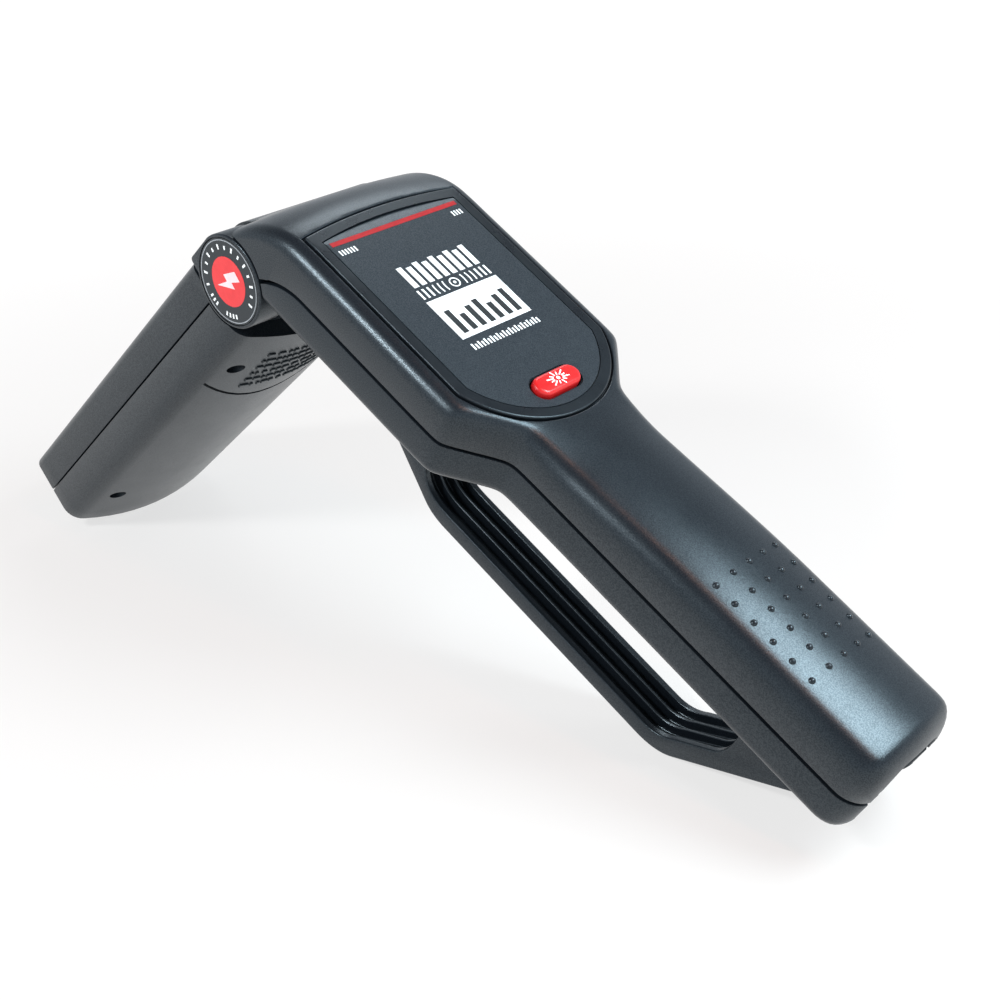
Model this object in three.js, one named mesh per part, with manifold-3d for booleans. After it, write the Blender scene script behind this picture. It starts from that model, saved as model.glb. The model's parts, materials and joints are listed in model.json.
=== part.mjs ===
// Folding timing light: a hand-held strobe for checking ignition timing.
//
// Millimetres, +Z up. The tool stands folded on the barrel's tip and the hand guard's corner.
// Two working frames share the hinge axis as their origin:
//   handle frame: X runs to the grip's end, Z points out of the label panel, Y is the width
//   barrel frame: X = 0 at the hinge, the lens lies towards -X, Z points out of the top cover
// The groups at the end of the file turn both frames into the standing position.

import * as THREE from 'three';
import { mergeVertices } from 'three/addons/utils/BufferGeometryUtils.js';
import Module from 'manifold-3d';

const wasm = await Module();
wasm.setup();

// ---------- driving dimensions ----------

const GAP = 0.3;                       // clearance between pieces that touch
const WALL = 2.4;                      // moulded wall thickness
const deg = (angle) => (angle * Math.PI) / 180;

const STAND_TILT = deg(30.9);          // handle's slope while the tool stands
const FOLD = deg(70);                  // fold from the straight position to this one

const HEAD_HALF = 35;                  // half width of the handle's head
const GRIP_HALF = 20.5;                // half width of the grip
const WAIST_START = 86.5;              // where the head starts to narrow
const HANDLE_END = 228;
const HEAD_TOP = 30.3;                 // level of the label panel
const GRIP_RISE = 2.8;                 // how much higher the grip's crown stands
const HANDLE_BASE = 3.5;               // level of the finger side
const SEAM_Z = 16.5;                   // parting line of the two handle shells
const SEAM_GAP = 1;                    // visible parting groove

const HUB_R = 15;                      // knuckle between the barrel's ears
const HUB_HALF = 23.6;
const NOSE_R = 28;                     // rounding from the hub's tangent to the panel level
const NOSE_X = 18.9;
const RECESS_R = 15.2;                 // seat of each ear in the handle's side wall

const EAR_R = 14.3;
const EAR_IN = 24.9;
const EAR_OUT = 35.2;
const EAR_PAD = 11;                    // how far the ear's raised pad reaches along the barrel
const LABEL_R = 13.1;
const LABEL_DEPTH = 0.9;
const PIN_R = 4;
const PIN_PLAY = 0.08;                 // running clearance of the hinge pins

const BARREL_HALF = 34.8;
const BARREL_LENGTH = 169.5;
const BARREL_START = 13.2;
const BARREL_TOP = 16;
const BARREL_BASE = -20;
const BARREL_BELLY = 7.5;              // how far the underside bows from its sides to its middle
const BARREL_SEAM = 0.5;
const CAVITY_START = 18;
const LENS_FRONT = 166.5;
const LENS_BACK = 163.5;

const PANEL_HALF = 30;                 // label panel: straight sides, round lower end
const PANEL_TOP_X = 17;
const PANEL_BOW = 2.6;                 // bow of the panel's upper edge
const PANEL_ARC_R = 32;
const PANEL_ARC_X = 71.5;
const PANEL_FLOOR = 28.3;
const CEILING = 26.1;                  // inside of the shell below the panel

const BUTTON_X = 91.9;
const BUTTON_HALF = 8.6;               // half length, across the handle
const BUTTON_R = 3.4;

const NOTCH_HALF = 13.6;               // arched opening round the lead socket
const NOTCH_TOP = 27.2;
const NOTCH_CORNER = 9;

const GUARD_HALF = 8.6;
const GUARD_RIM = -32;
const GUARD_BASE = -37.5;
const GUARD_WALL = 2.2;
const RIB_COUNT = 2;                   // thin ribs along the guard's inner side
const RIB_THICK = 0.8;

const BARREL_SCREW_X = [35, 145];
const BARREL_SCREW_Y = 25;
const HANDLE_SCREWS = [[26, 25], [26, -25], [182, 12.5], [182, -12.5]];
const GUARD_SCREW_X = [56, 197];
const BOARD_SCREW_Y = 19;
const BOARD_SCREW_X = 40;

// ---------- colours ----------

const finish = (color, roughness, metalness = 0) =>
  new THREE.MeshStandardMaterial({ color, roughness, metalness });

const CASE = finish(0x2b2e33, 0.5);
const PLATE = finish(0x24282c, 0.55);
const FILM = finish(0x2a2f33, 0.45);
const RED = finish(0xd8262a, 0.4);
const BOARD = finish(0x1f5b36, 0.6);
const STEEL = finish(0xa9adb2, 0.35, 0.9);
const BRASS = finish(0xb98f45, 0.35, 0.9);
const DARK = finish(0x15171a, 0.6);
const GLASS = finish(0xdfe8ee, 0.08);
const MIRROR = finish(0xe6e8ea, 0.12, 1);
const WIRE = finish(0x8b1a1a, 0.5);
const COIL = finish(0x9a5a2c, 0.45, 0.4);

// ---------- solids ----------

function solid(geometry) {
  const bare = geometry.clone();
  bare.deleteAttribute('normal');
  bare.deleteAttribute('uv');
  const merged = mergeVertices(bare, 1e-4);
  return new wasm.Manifold(new wasm.Mesh({
    numProp: 3,
    vertProperties: new Float32Array(merged.attributes.position.array),
    triVerts: new Uint32Array(merged.index.array),
  }));
}

function geometryOf(body) {
  const mesh = body.getMesh();
  const geometry = new THREE.BufferGeometry();
  geometry.setAttribute('position', new THREE.BufferAttribute(new Float32Array(mesh.vertProperties), 3));
  geometry.setIndex(new THREE.BufferAttribute(new Uint32Array(mesh.triVerts), 1));
  geometry.computeVertexNormals();
  return geometry;
}

function piece(name, body, material) {
  const mesh = new THREE.Mesh(geometryOf(body), material);
  mesh.name = name;
  return mesh;
}

function box(x0, x1, y0, y1, z0, z1) {
  const geometry = new THREE.BoxGeometry(x1 - x0, y1 - y0, z1 - z0);
  geometry.translate((x0 + x1) / 2, (y0 + y1) / 2, (z0 + z1) / 2);
  return solid(geometry);
}

// A round bar between two levels along one axis.
function bar(axis, radius, from, to, centre, segments = 20) {
  const geometry = new THREE.CylinderGeometry(radius, radius, to - from, segments);
  if (axis === 'x') geometry.rotateZ(Math.PI / 2);
  if (axis === 'z') geometry.rotateX(Math.PI / 2);
  const middle = (from + to) / 2;
  if (axis === 'x') geometry.translate(middle, centre[0], centre[1]);
  if (axis === 'y') geometry.translate(centre[0], middle, centre[1]);
  if (axis === 'z') geometry.translate(centre[0], centre[1], middle);
  return solid(geometry);
}

// An outline in X and Z, as thick as the given stretch of Y.
function slabXZ(shape, y0, y1, curveSegments = 10) {
  const geometry = new THREE.ExtrudeGeometry(shape, { depth: y1 - y0, bevelEnabled: false, curveSegments });
  geometry.rotateX(Math.PI / 2);
  geometry.translate(0, y1, 0);
  return solid(geometry);
}

// An outline in X and Y, as thick as the given stretch of Z.
function slabXY(shape, z0, z1, curveSegments = 10) {
  const geometry = new THREE.ExtrudeGeometry(shape, { depth: z1 - z0, bevelEnabled: false, curveSegments });
  geometry.translate(0, 0, z0);
  return solid(geometry);
}

// Skins a row of closed sections, each with the same number of points.
function loft(sections) {
  const count = sections[0].length;
  const positions = sections.flat().flatMap((point) => [point.x, point.y, point.z]);
  const index = [];
  for (let s = 0; s < sections.length - 1; s += 1) {
    for (let i = 0; i < count; i += 1) {
      const a = s * count + i;
      const b = s * count + ((i + 1) % count);
      index.push(a, b, a + count, b, b + count, a + count);
    }
  }
  const last = (sections.length - 1) * count;
  for (let i = 1; i < count - 1; i += 1) {
    index.push(0, i + 1, i);
    index.push(last, last + i, last + i + 1);
  }
  const geometry = new THREE.BufferGeometry();
  geometry.setAttribute('position', new THREE.Float32BufferAttribute(positions, 3));
  geometry.setIndex(index);
  return solid(geometry);
}

const ordered = (a, b) => (a < b ? [a, b] : [b, a]);

function mirrored(make) {
  return make(-1).add(make(1));
}

// ---------- section shapes ----------

// A moulded section: base with round corners, upright sides, shoulders and a crowned top.
// The base is flat, or bows down in the middle when a belly is given.
function section(x, { half, top, base, drop, shoulder, corner, belly = 0 }) {
  const points = [];
  const arc = (y, z, radius, from, to, steps) => {
    for (let i = 0; i <= steps; i += 1) {
      const angle = deg(from + ((to - from) * i) / steps);
      points.push(new THREE.Vector3(x, y + radius * Math.cos(angle), z + radius * Math.sin(angle)));
    }
  };
  const edge = half - shoulder;
  const foot = half - corner;
  const level = (y) => top - drop * (y / half) ** 2;
  const underside = (y) => base + belly * (y / half) ** 2;
  arc(foot, underside(foot) + corner, corner, -90, 0, belly ? 4 : 2);
  arc(edge, level(edge) - shoulder, shoulder, 0, 90, 3);
  const steps = 4;
  for (let i = 1; i < steps; i += 1) {
    const y = edge * (1 - (2 * i) / steps);
    points.push(new THREE.Vector3(x, y, level(y)));
  }
  arc(-edge, level(edge) - shoulder, shoulder, 90, 180, 3);
  arc(-foot, underside(foot) + corner, corner, 180, 270, belly ? 4 : 2);
  for (let i = 1; belly && i < steps; i += 1) {
    const y = foot * ((2 * i) / steps - 1);
    points.push(new THREE.Vector3(x, y, underside(y)));
  }
  return points;
}

// Smooth version of max(0, value).
const soft = (value, blend) => (value + Math.sqrt(value * value + blend * blend)) / 2;

const smooth = (from, to, value) => {
  const t = Math.min(1, Math.max(0, (value - from) / (to - from)));
  return t * t * (3 - 2 * t);
};

// How far a rounded end of the given radius has closed in, at a distance before the end.
const closing = (radius, distance) =>
  (distance >= radius ? 0 : radius - Math.sqrt(radius * radius - (radius - distance) ** 2));

// ---------- handle ----------

function handleTop(x) {
  if (x >= NOSE_X) return HEAD_TOP + GRIP_RISE * smooth(98, 175, x);
  const fromArc = HEAD_TOP - NOSE_R + Math.sqrt(Math.max(0, NOSE_R ** 2 - (x - NOSE_X) ** 2));
  const tangent = deg(140);
  const touch = NOSE_X + NOSE_R * Math.cos(tangent);
  return x >= touch ? fromArc : (HUB_R - x * Math.cos(tangent)) / Math.sin(tangent);
}

function handleHalf(x) {
  const narrowing = HEAD_HALF - GRIP_HALF;
  return HEAD_HALF - soft(x - WAIST_START, 1.6) + soft(x - WAIST_START - narrowing, 2);
}

function handleSection(x, inset) {
  const toEnd = HANDLE_END - inset - x;
  const nose = 1 - smooth(0, 24, x);
  const grip = smooth(92, 120, x);
  return section(x, {
    half: handleHalf(x) - inset - closing(8.5, toEnd),
    top: handleTop(x) - inset - 1.8 * closing(6, toEnd),
    base: HANDLE_BASE + inset + closing(4, toEnd),
    drop: 0.8 + 1.6 * nose + 3 * grip,
    shoulder: Math.max(5.2 + 2.4 * grip - inset, 1.5),
    corner: Math.max(4 - inset, 1.2),
  });
}

function handleStations(from, inset) {
  const along = [-1, 4, 10, 17, 24, 80, 84.5, 86.5, 88.5, 93, 98.6, 101, 103.4, 110, 118, 128, 150, 178];
  const end = HANDLE_END - inset;
  const rounding = [8.5, 4.5, 1.8, 0.4, 0].map((distance) => end - distance);
  return [from, ...along.filter((x) => x > from + 1 && x < end - 10), ...rounding];
}

function handleEnvelope() {
  const body = loft(handleStations(-5, 0).map((x) => handleSection(x, 0)));
  const seats = mirrored((side) => bar('y', RECESS_R, ...ordered(side * HUB_HALF, side * 40), [0, 0], 40));
  const nose = loft([-12.2, -5, -1, 4, 10, 17, 24].map((x) => section(x, {
    half: HUB_HALF,
    top: handleTop(x),
    base: HANDLE_BASE + 0.5,
    drop: 1.2 * (1 - smooth(0, 24, x)),
    shoulder: 0.4,
    corner: 0.4,
  })));
  const hub = bar('y', HUB_R, -HUB_HALF, HUB_HALF, [0, 0], 40);
  return body.subtract(seats).add(nose).add(hub);
}

function handleCavity() {
  const deep = loft(handleStations(20, WALL).map((x) => handleSection(x, WALL)));
  const ceiling = box(-5, 108, -40, 40, CEILING, 60);
  return deep.subtract(ceiling);
}

// The parting surface runs level along the side and dips through the hinge axis.
function partingSide(upper) {
  const shift = upper ? SEAM_GAP / 2 : -SEAM_GAP / 2;
  const far = upper ? 70 : -70;
  const shape = new THREE.Shape();
  shape.moveTo(HANDLE_END + 10, SEAM_Z + shift);
  shape.lineTo(28, SEAM_Z + shift);
  shape.quadraticCurveTo(19, SEAM_Z + shift, 11.5 - shift, 10.3 + shift);
  shape.lineTo(-30 - shift, -27 + shift);
  shape.lineTo(-60, -27 + shift);
  shape.lineTo(-60, far);
  shape.lineTo(HANDLE_END + 10, far);
  return slabXZ(shape, -60, 60, 6);
}

function panelShape(inset) {
  const half = PANEL_HALF - inset;
  const radius = PANEL_ARC_R - inset;
  const start = Math.asin(half / radius);
  const shape = new THREE.Shape();
  shape.moveTo(PANEL_TOP_X + inset, -half);
  shape.absarc(PANEL_ARC_X, 0, radius, -start, start, false);
  shape.lineTo(PANEL_TOP_X + inset, half);
  shape.quadraticCurveTo(PANEL_TOP_X + inset - 2 * PANEL_BOW, 0, PANEL_TOP_X + inset, -half);
  return shape;
}

function stadium(grow) {
  const radius = BUTTON_R + grow;
  const reach = BUTTON_HALF - BUTTON_R;
  const shape = new THREE.Shape();
  shape.absarc(BUTTON_X, reach, radius, 0, Math.PI, false);
  shape.absarc(BUTTON_X, -reach, radius, Math.PI, 2 * Math.PI, false);
  shape.closePath();
  return shape;
}

// Room for the lamp leads: from the head's cavity, over the axis and out to the barrel.
function wireSlot() {
  const shape = new THREE.Shape();
  shape.moveTo(22, 7);
  shape.lineTo(22, 14);
  shape.lineTo(-4, 5);
  shape.lineTo(-19, 5);
  shape.absarc(0, 0, 19, deg(165), deg(265), false);
  shape.lineTo(4, -4);
  return slabXZ(shape, -4.5, 4.5, 8);
}

// Arched opening in the grip's end wall, in front of the lead socket.
function socketNotch() {
  const outer = HANDLE_END + 4;
  const flank = NOTCH_HALF - NOTCH_CORNER;
  let notch = box(217, outer, -NOTCH_HALF, NOTCH_HALF, -10, NOTCH_TOP - NOTCH_CORNER);
  notch = notch.add(box(217, outer, -flank, flank, 0, NOTCH_TOP));
  for (const y of [-flank, flank]) {
    notch = notch.add(bar('x', NOTCH_CORNER, 217, outer, [y, NOTCH_TOP - NOTCH_CORNER], 36));
  }
  return notch;
}

const pinBores = () => mirrored((side) => bar('y', PIN_R + PIN_PLAY, ...ordered(side * 13.7, side * 40), [0, 0]));

function handleRearShell() {
  const hollow = handleCavity();
  let shell = handleEnvelope().subtract(hollow);
  shell = shell.subtract(slabXY(panelShape(0), PANEL_FLOOR, 60, 14));
  shell = shell.subtract(slabXY(stadium(0.7), CEILING - 4, 60));
  for (const [x, y] of HANDLE_SCREWS) shell = shell.add(post(x, y, 12, handleTop(x) - 3));
  for (const y of [-BOARD_SCREW_Y, BOARD_SCREW_Y]) shell = shell.add(post(BOARD_SCREW_X, y, 19.8, 27));
  shell = shell.subtract(wireSlot()).subtract(pinBores()).subtract(socketNotch());
  shell = shell.intersect(partingSide(true));
  for (const [x, y] of HANDLE_SCREWS) shell = shell.subtract(bar('z', 1.5, 5, 24, [x, y], 10));
  for (const y of [-BOARD_SCREW_Y, BOARD_SCREW_Y]) {
    shell = shell.subtract(bar('z', 1.5, 18, 25.2, [BOARD_SCREW_X, y], 10));
  }
  return shell;
}

const post = (x, y, z0, z1) => bar('z', 3.2, z0, z1, [x, y], 20);

function handleFrontShell() {
  let shell = handleEnvelope().subtract(handleCavity());
  for (const [x, y] of HANDLE_SCREWS) shell = shell.add(post(x, y, HANDLE_BASE + 0.5, SEAM_Z - 1));
  for (const x of GUARD_SCREW_X) shell = shell.add(post(x, 0, HANDLE_BASE + 0.5, 12));
  shell = shell.add(capacitorSaddle(118)).add(capacitorSaddle(148));
  shell = shell.subtract(wireSlot()).subtract(pinBores()).subtract(socketNotch());
  shell = shell.intersect(partingSide(false));
  for (const [x, y] of HANDLE_SCREWS) {
    shell = shell.subtract(bar('z', 1.5, 0, 20, [x, y], 10));
    shell = shell.subtract(bar('z', 3.1, 0, 7.3, [x, y], 20));
  }
  for (const x of GUARD_SCREW_X) shell = shell.subtract(bar('z', 1.5, 0, 10.5, [x, 0], 10));
  return shell;
}

function capacitorSaddle(x) {
  const rib = box(x - 1, x + 1, -17, 17, HANDLE_BASE + 1, 13);
  const leadWay = box(x - 3, x + 3, -1.4, 1.4, HANDLE_BASE + WALL, 20);
  return rib.subtract(leadWay).subtract(bar('x', CAPACITOR_R + GAP, x - 3, x + 3, [0, CAPACITOR_Z], 24));
}

const CAPACITOR_R = 9;
const CAPACITOR_Z = 17.5;

function screw(x, y, headFrom, tip, headRadius = 2.7) {
  const head = bar('z', headRadius, headFrom, headFrom + 1.8, [x, y], 12);
  const shank = bar('z', 1.2, headFrom + 1, tip, [x, y], 8);
  const slot = box(x - 0.5, x + 0.5, y - 4, y + 4, headFrom - 1, headFrom + 0.8);
  return head.add(shank).subtract(slot);
}

// ---------- hand guard ----------

function guardOutline(inset) {
  const shape = new THREE.Shape();
  const bottom = GUARD_BASE + inset;
  const slope = inset * 0.55;
  shape.moveTo(45 + inset, 3.2);
  shape.lineTo(46 + inset, -13 + slope);
  shape.quadraticCurveTo(47.5 + inset, -19 + slope, 54 + slope, -22.6 + inset);
  shape.lineTo(75.5 + slope, -35.4 + inset);
  shape.quadraticCurveTo(79.5 + slope, bottom, 85, bottom);
  shape.lineTo(169, bottom);
  shape.quadraticCurveTo(176.5 - slope, bottom, 181 - slope, -34 + inset);
  shape.lineTo(222 - inset, 1.2 + slope);
  shape.lineTo(222 - inset, 3.2);
  return shape;
}

function fingerHole(grow) {
  const shape = new THREE.Shape();
  const rim = GUARD_RIM - grow;
  shape.moveTo(70 - grow, 10);
  shape.lineTo(70 - grow, -20);
  shape.quadraticCurveTo(70 - grow, rim, 84, rim);
  shape.lineTo(169, rim);
  shape.quadraticCurveTo(175, rim, 179 + grow * 0.6, -27.5 - grow * 0.6);
  shape.lineTo(189 + grow, -19);
  shape.quadraticCurveTo(192 + grow, -16, 192 + grow, -11);
  shape.lineTo(192 + grow, 10);
  return shape;
}

function handGuard() {
  const web = 2.2;
  const plate = slabXZ(guardOutline(0), -GUARD_HALF, GUARD_HALF, 5);
  let guard = plate.subtract(slabXZ(fingerHole(0), -30, 30, 5));
  const width = (2 * (GUARD_HALF - GUARD_WALL) - RIB_COUNT * RIB_THICK) / (RIB_COUNT + 1);
  for (let i = 0; i <= RIB_COUNT; i += 1) {
    const from = -GUARD_HALF + GUARD_WALL + i * (width + RIB_THICK);
    const channel = slabXZ(fingerHole(3.4), from, from + width, 5);
    guard = guard.subtract(channel.intersect(box(60, 193, -30, 30, GUARD_BASE + web, -6)));
  }
  for (const [x, y] of GUARD_SCREW_X.map((place) => [place, 0])) {
    guard = guard.subtract(bar('z', 1.5, -60, 6, [x, y], 10));
    guard = guard.subtract(bar('z', 3.1, -60, -1.2, [x, y], 20));
  }
  return guard;
}

// ---------- label panel and button ----------

function panelPlate() {
  const plate = slabXY(panelShape(0.6), PANEL_FLOOR + GAP, HEAD_TOP - 0.1, 14);
  const overlay = slabXY(panelShape(4), HEAD_TOP - 0.6, 40, 14);
  const bevel = slabXZ(bevelShape(), -40, 40);
  return plate.subtract(slabXY(stadium(0.5), 20, 40)).subtract(overlay).subtract(bevel);
}

// The panel's upper edge falls away towards the hinge.
function bevelShape() {
  const shape = new THREE.Shape();
  shape.moveTo(10, PANEL_FLOOR + GAP + 0.5);
  shape.lineTo(20.5, HEAD_TOP - 0.1);
  shape.lineTo(20.5, 40);
  shape.lineTo(10, 40);
  return shape;
}

function panelOverlay() {
  const film = slabXY(panelShape(4.3), HEAD_TOP - 0.3, HEAD_TOP, 14);
  return film.subtract(slabXY(stadium(0.9), 20, 40));
}

function flashButton() {
  const cap = slabXY(stadium(0), 25, 31.4, 7);
  const crown = slabXY(stadium(-0.8), 31, 31.9, 7);
  const flange = slabXY(stadium(1.6), 24.7, 25.7, 7);
  const stem = bar('z', 1.8, 24, 25.5, [BUTTON_X, 0], 18);
  return cap.add(crown).add(flange).add(stem);
}

// ---------- electronics in the handle ----------

function controlBoard() {
  const shape = new THREE.Shape();
  shape.moveTo(30, -21);
  shape.lineTo(84, -21);
  shape.lineTo(91, -14);
  shape.lineTo(101, -14);
  shape.lineTo(101, 14);
  shape.lineTo(91, 14);
  shape.lineTo(84, 21);
  shape.lineTo(30, 21);
  let board = slabXY(shape, 17.9, 19.5);
  for (const y of [-BOARD_SCREW_Y, BOARD_SCREW_Y]) {
    board = board.subtract(bar('z', 1.5, 10, 30, [BOARD_SCREW_X, y], 10));
  }
  return board;
}

function switchBody() {
  const body = box(BUTTON_X - 3, BUTTON_X + 3, -3, 3, 19.8, 22.4);
  return body.subtract(bar('z', 1.8, 20.4, 30, [BUTTON_X, 0], 10));
}

function transformer() {
  const core = box(62, 82, -11, 11, 7.5, 17.6);
  const windows = box(60, 84, -7, 7, 10.2, 14.8);
  return core.subtract(windows);
}

const transformerWinding = () => box(64, 80, -6.7, 6.7, 10.5, 14.5);

function powerTransistor() {
  const body = box(86, 90.5, -5, 5, 9, 17.6);
  const tab = box(86, 87.4, -5, 5, 6.3, 9.5);
  return body.add(tab);
}

function storageCapacitor() {
  const can = bar('x', CAPACITOR_R, 112, 156, [0, CAPACITOR_Z], 20);
  const groove = bar('x', CAPACITOR_R + 1, 151, 152.2, [0, CAPACITOR_Z], 20)
    .subtract(bar('x', CAPACITOR_R - 0.6, 150, 153, [0, CAPACITOR_Z], 20));
  return can.subtract(groove);
}

const CONTACT_PLACES = [[-4.8, 11.2], [0, 11.2], [4.8, 11.2], [0, 8]];

function leadSocket() {
  let body = box(201, 216.7, -13.4, 13.4, 6.3, 26.8);
  for (const [y, z] of CONTACT_PLACES) body = body.subtract(bar('x', 1.1, 190, 220, [y, z], 10));
  return body;
}

const contact = ([y, z]) => bar('x', 0.8, 200.6, 219.5, [y, z], 8);

// ---------- barrel ----------

function barrelSection(reach, inset) {
  return section(-reach, {
    half: BARREL_HALF - inset,
    top: BARREL_TOP - inset,
    base: BARREL_BASE + inset,
    drop: 3,
    shoulder: Math.max(3.2 - inset, 1),
    corner: Math.max(7.5 - inset, 1),
    belly: BARREL_BELLY,
  });
}

function barrelLoft(from, to, inset) {
  return loft([to, from].map((reach) => barrelSection(reach, inset)));
}

function barrelEnvelope() {
  const outer = barrelLoft(4, BARREL_LENGTH, 0);
  const cavity = barrelLoft(CAVITY_START, LENS_FRONT + GAP, WALL);
  const mouth = barrelLoft(100, BARREL_LENGTH + 5, 4.6);
  const leads = bar('x', 4, -30, 0, [0, -2], 20);
  return outer.subtract(cavity).subtract(mouth).subtract(leads);
}

const hubClearance = () => bar('y', HUB_R + 0.9, -EAR_IN, EAR_IN, [0, 0], 40);
const half = (upper) =>
  box(-200, 30, -60, 60, upper ? BARREL_SEAM + 0.25 : -60, upper ? 60 : BARREL_SEAM - 0.25);

function ear(side) {
  const inner = EAR_IN - 1;
  const [y0, y1] = ordered(side * inner, side * EAR_OUT);
  const disc = bar('y', EAR_R, y0, y1, [0, 0], 40);
  const pad = box(-EAR_PAD, 2, y0, y1, BARREL_SEAM + 0.25, EAR_R - 0.1);
  const root = box(-22, -4, ...ordered(side * inner, side * (BARREL_HALF - 0.6)), BARREL_SEAM + 0.25, 11.5);
  return disc.add(pad).add(root);
}

const labelSeats = () => mirrored((side) =>
  bar('y', LABEL_R + GAP, ...ordered(side * (EAR_OUT - LABEL_DEPTH), side * 50), [0, 0], 32));

function barrelUpperShell() {
  let shell = barrelEnvelope().intersect(half(true));
  shell = shell.subtract(box(-EAR_PAD - 1.5, 40, -60, 60, -60, 60));
  const betweenEars = box(-BARREL_START, 40, -EAR_IN, EAR_IN, -60, 60).add(hubClearance());
  shell = shell.add(mirrored(ear)).subtract(labelSeats()).subtract(betweenEars);
  for (const [x, y] of barrelScrewPlaces()) shell = shell.add(bar('z', 3.2, 1, 13, [-x, y], 20));
  shell = shell.subtract(pinBores());
  for (const [x, y] of barrelScrewPlaces()) shell = shell.subtract(bar('z', 1.5, -20, 9, [-x, y], 10));
  return shell;
}

function barrelLowerShell() {
  let shell = barrelEnvelope().intersect(half(false));
  shell = shell.subtract(hubClearance());
  shell = shell.subtract(bar('y', EAR_R + 0.6, -60, 60, [0, 0], 40));
  shell = shell.subtract(box(-12, 40, -60, 60, -60, 60));
  const outer = barrelLoft(4, BARREL_LENGTH, 0);
  for (const [x, y] of barrelScrewPlaces()) {
    shell = shell.add(bar('z', 4.3, -18, 0, [-x, y], 20).intersect(outer));
  }
  for (const [x, y] of barrelScrewPlaces()) {
    shell = shell.subtract(bar('z', 1.5, -30, 5, [-x, y], 10));
    shell = shell.subtract(bar('z', 2.9, -30, -7, [-x, y], 20));
  }
  return shell;
}

function barrelScrewPlaces() {
  return BARREL_SCREW_X.flatMap((x) => [[x, -BARREL_SCREW_Y], [x, BARREL_SCREW_Y]]);
}

const hingeLabel = (side) =>
  bar('y', LABEL_R, ...ordered(side * (EAR_OUT - LABEL_DEPTH + GAP), side * (EAR_OUT - 0.1)), [0, 0], 32);

const hingePin = (side) => bar('y', PIN_R, ...ordered(side * 14, side * 34), [0, 0]);

function frictionWasher(side) {
  const span = ordered(side * (HUB_HALF + GAP), side * (EAR_IN - GAP));
  return bar('y', 9, ...span, [0, 0], 32).subtract(bar('y', PIN_R + GAP, -60, 60, [0, 0]));
}

// ---------- lamp in the barrel ----------

const lens = () => barrelLoft(LENS_BACK, LENS_FRONT, WALL + GAP);

function lensGasket() {
  const ring = barrelLoft(LENS_BACK - 1.6, LENS_BACK - GAP, WALL + GAP);
  return ring.subtract(barrelLoft(LENS_BACK - 5, LENS_BACK + 5, WALL + 2.6));
}

const LAMP_Z = -2;
const LAMP_X = -155;
const TROUGH_FRONT = -161.3;
const TROUGH_BACK = -150.4;

// Parabolic trough, open towards the lens.
function reflector() {
  const shape = new THREE.Shape();
  shape.moveTo(TROUGH_FRONT, LAMP_Z + 10.6);
  shape.quadraticCurveTo(TROUGH_BACK - 2, LAMP_Z + 8, TROUGH_BACK, LAMP_Z);
  shape.quadraticCurveTo(TROUGH_BACK - 2, LAMP_Z - 8, TROUGH_FRONT, LAMP_Z - 10.6);
  shape.lineTo(TROUGH_FRONT, LAMP_Z - 9.6);
  shape.quadraticCurveTo(TROUGH_BACK - 3, LAMP_Z - 7, TROUGH_BACK - 1, LAMP_Z);
  shape.quadraticCurveTo(TROUGH_BACK - 3, LAMP_Z + 7, TROUGH_FRONT, LAMP_Z + 9.6);
  return slabXZ(shape, -25, 25, 10);
}

const xenonTube = () => bar('y', 2, -31.4, 31.4, [LAMP_X, LAMP_Z], 18);

function tubeClip(side) {
  const span = ordered(side * 29.7, side * 31.8);
  const arm = box(-158.5, -134.9, ...span, LAMP_Z - 3.6, LAMP_Z + 3.6);
  return arm.subtract(bar('y', 2 + GAP, -60, 60, [LAMP_X, LAMP_Z], 18));
}

function tubeBoard() {
  return box(-134.6, -133, -31.6, 31.6, -8.4, 10);
}

function triggerCoil() {
  const coil = bar('y', 4, -9, 9, [-128.6, LAMP_Z], 16);
  const flanges = mirrored((side) => bar('y', 5, ...ordered(side * 8.5, side * 10.4), [-127.6, LAMP_Z], 16));
  return coil.add(flanges);
}

// A wire bundle along a smooth route.
function bundle(places, radius, steps) {
  const curve = new THREE.CatmullRomCurve3(places.map((place) => new THREE.Vector3(...place)));
  const ring = new THREE.Shape();
  ring.absarc(0, 0, radius, 0, 2 * Math.PI, false);
  return solid(new THREE.ExtrudeGeometry(ring, { extrudePath: curve, steps, curveSegments: 3, bevelEnabled: false }));
}

const lampLeads = () => bundle([[-3, 0, -1], [-16, 0, -2], [-50, 0, -6], [-95, 0, -6], [-121.5, 0, -4]], 2.2, 14);

// From the board down to the finger side, under the capacitor and on towards the socket.
function supplyLeads() {
  const drop = [[99, 0, 16.6], [103, 0, 12], [107, 0, 8.2]];
  const run = [[112, 0, 7.2], [150, 0, 7.2], [191, 0, 7.2]];
  return bundle([...drop, ...run], 0.8, 12);
}

// ---------- assembly ----------

const model = new THREE.Group();
const handle = new THREE.Group();
const barrel = new THREE.Group();
model.add(handle);
handle.add(barrel);
barrel.rotation.y = -FOLD;

const SIDES = [['left', -1], ['right', 1]];

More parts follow.
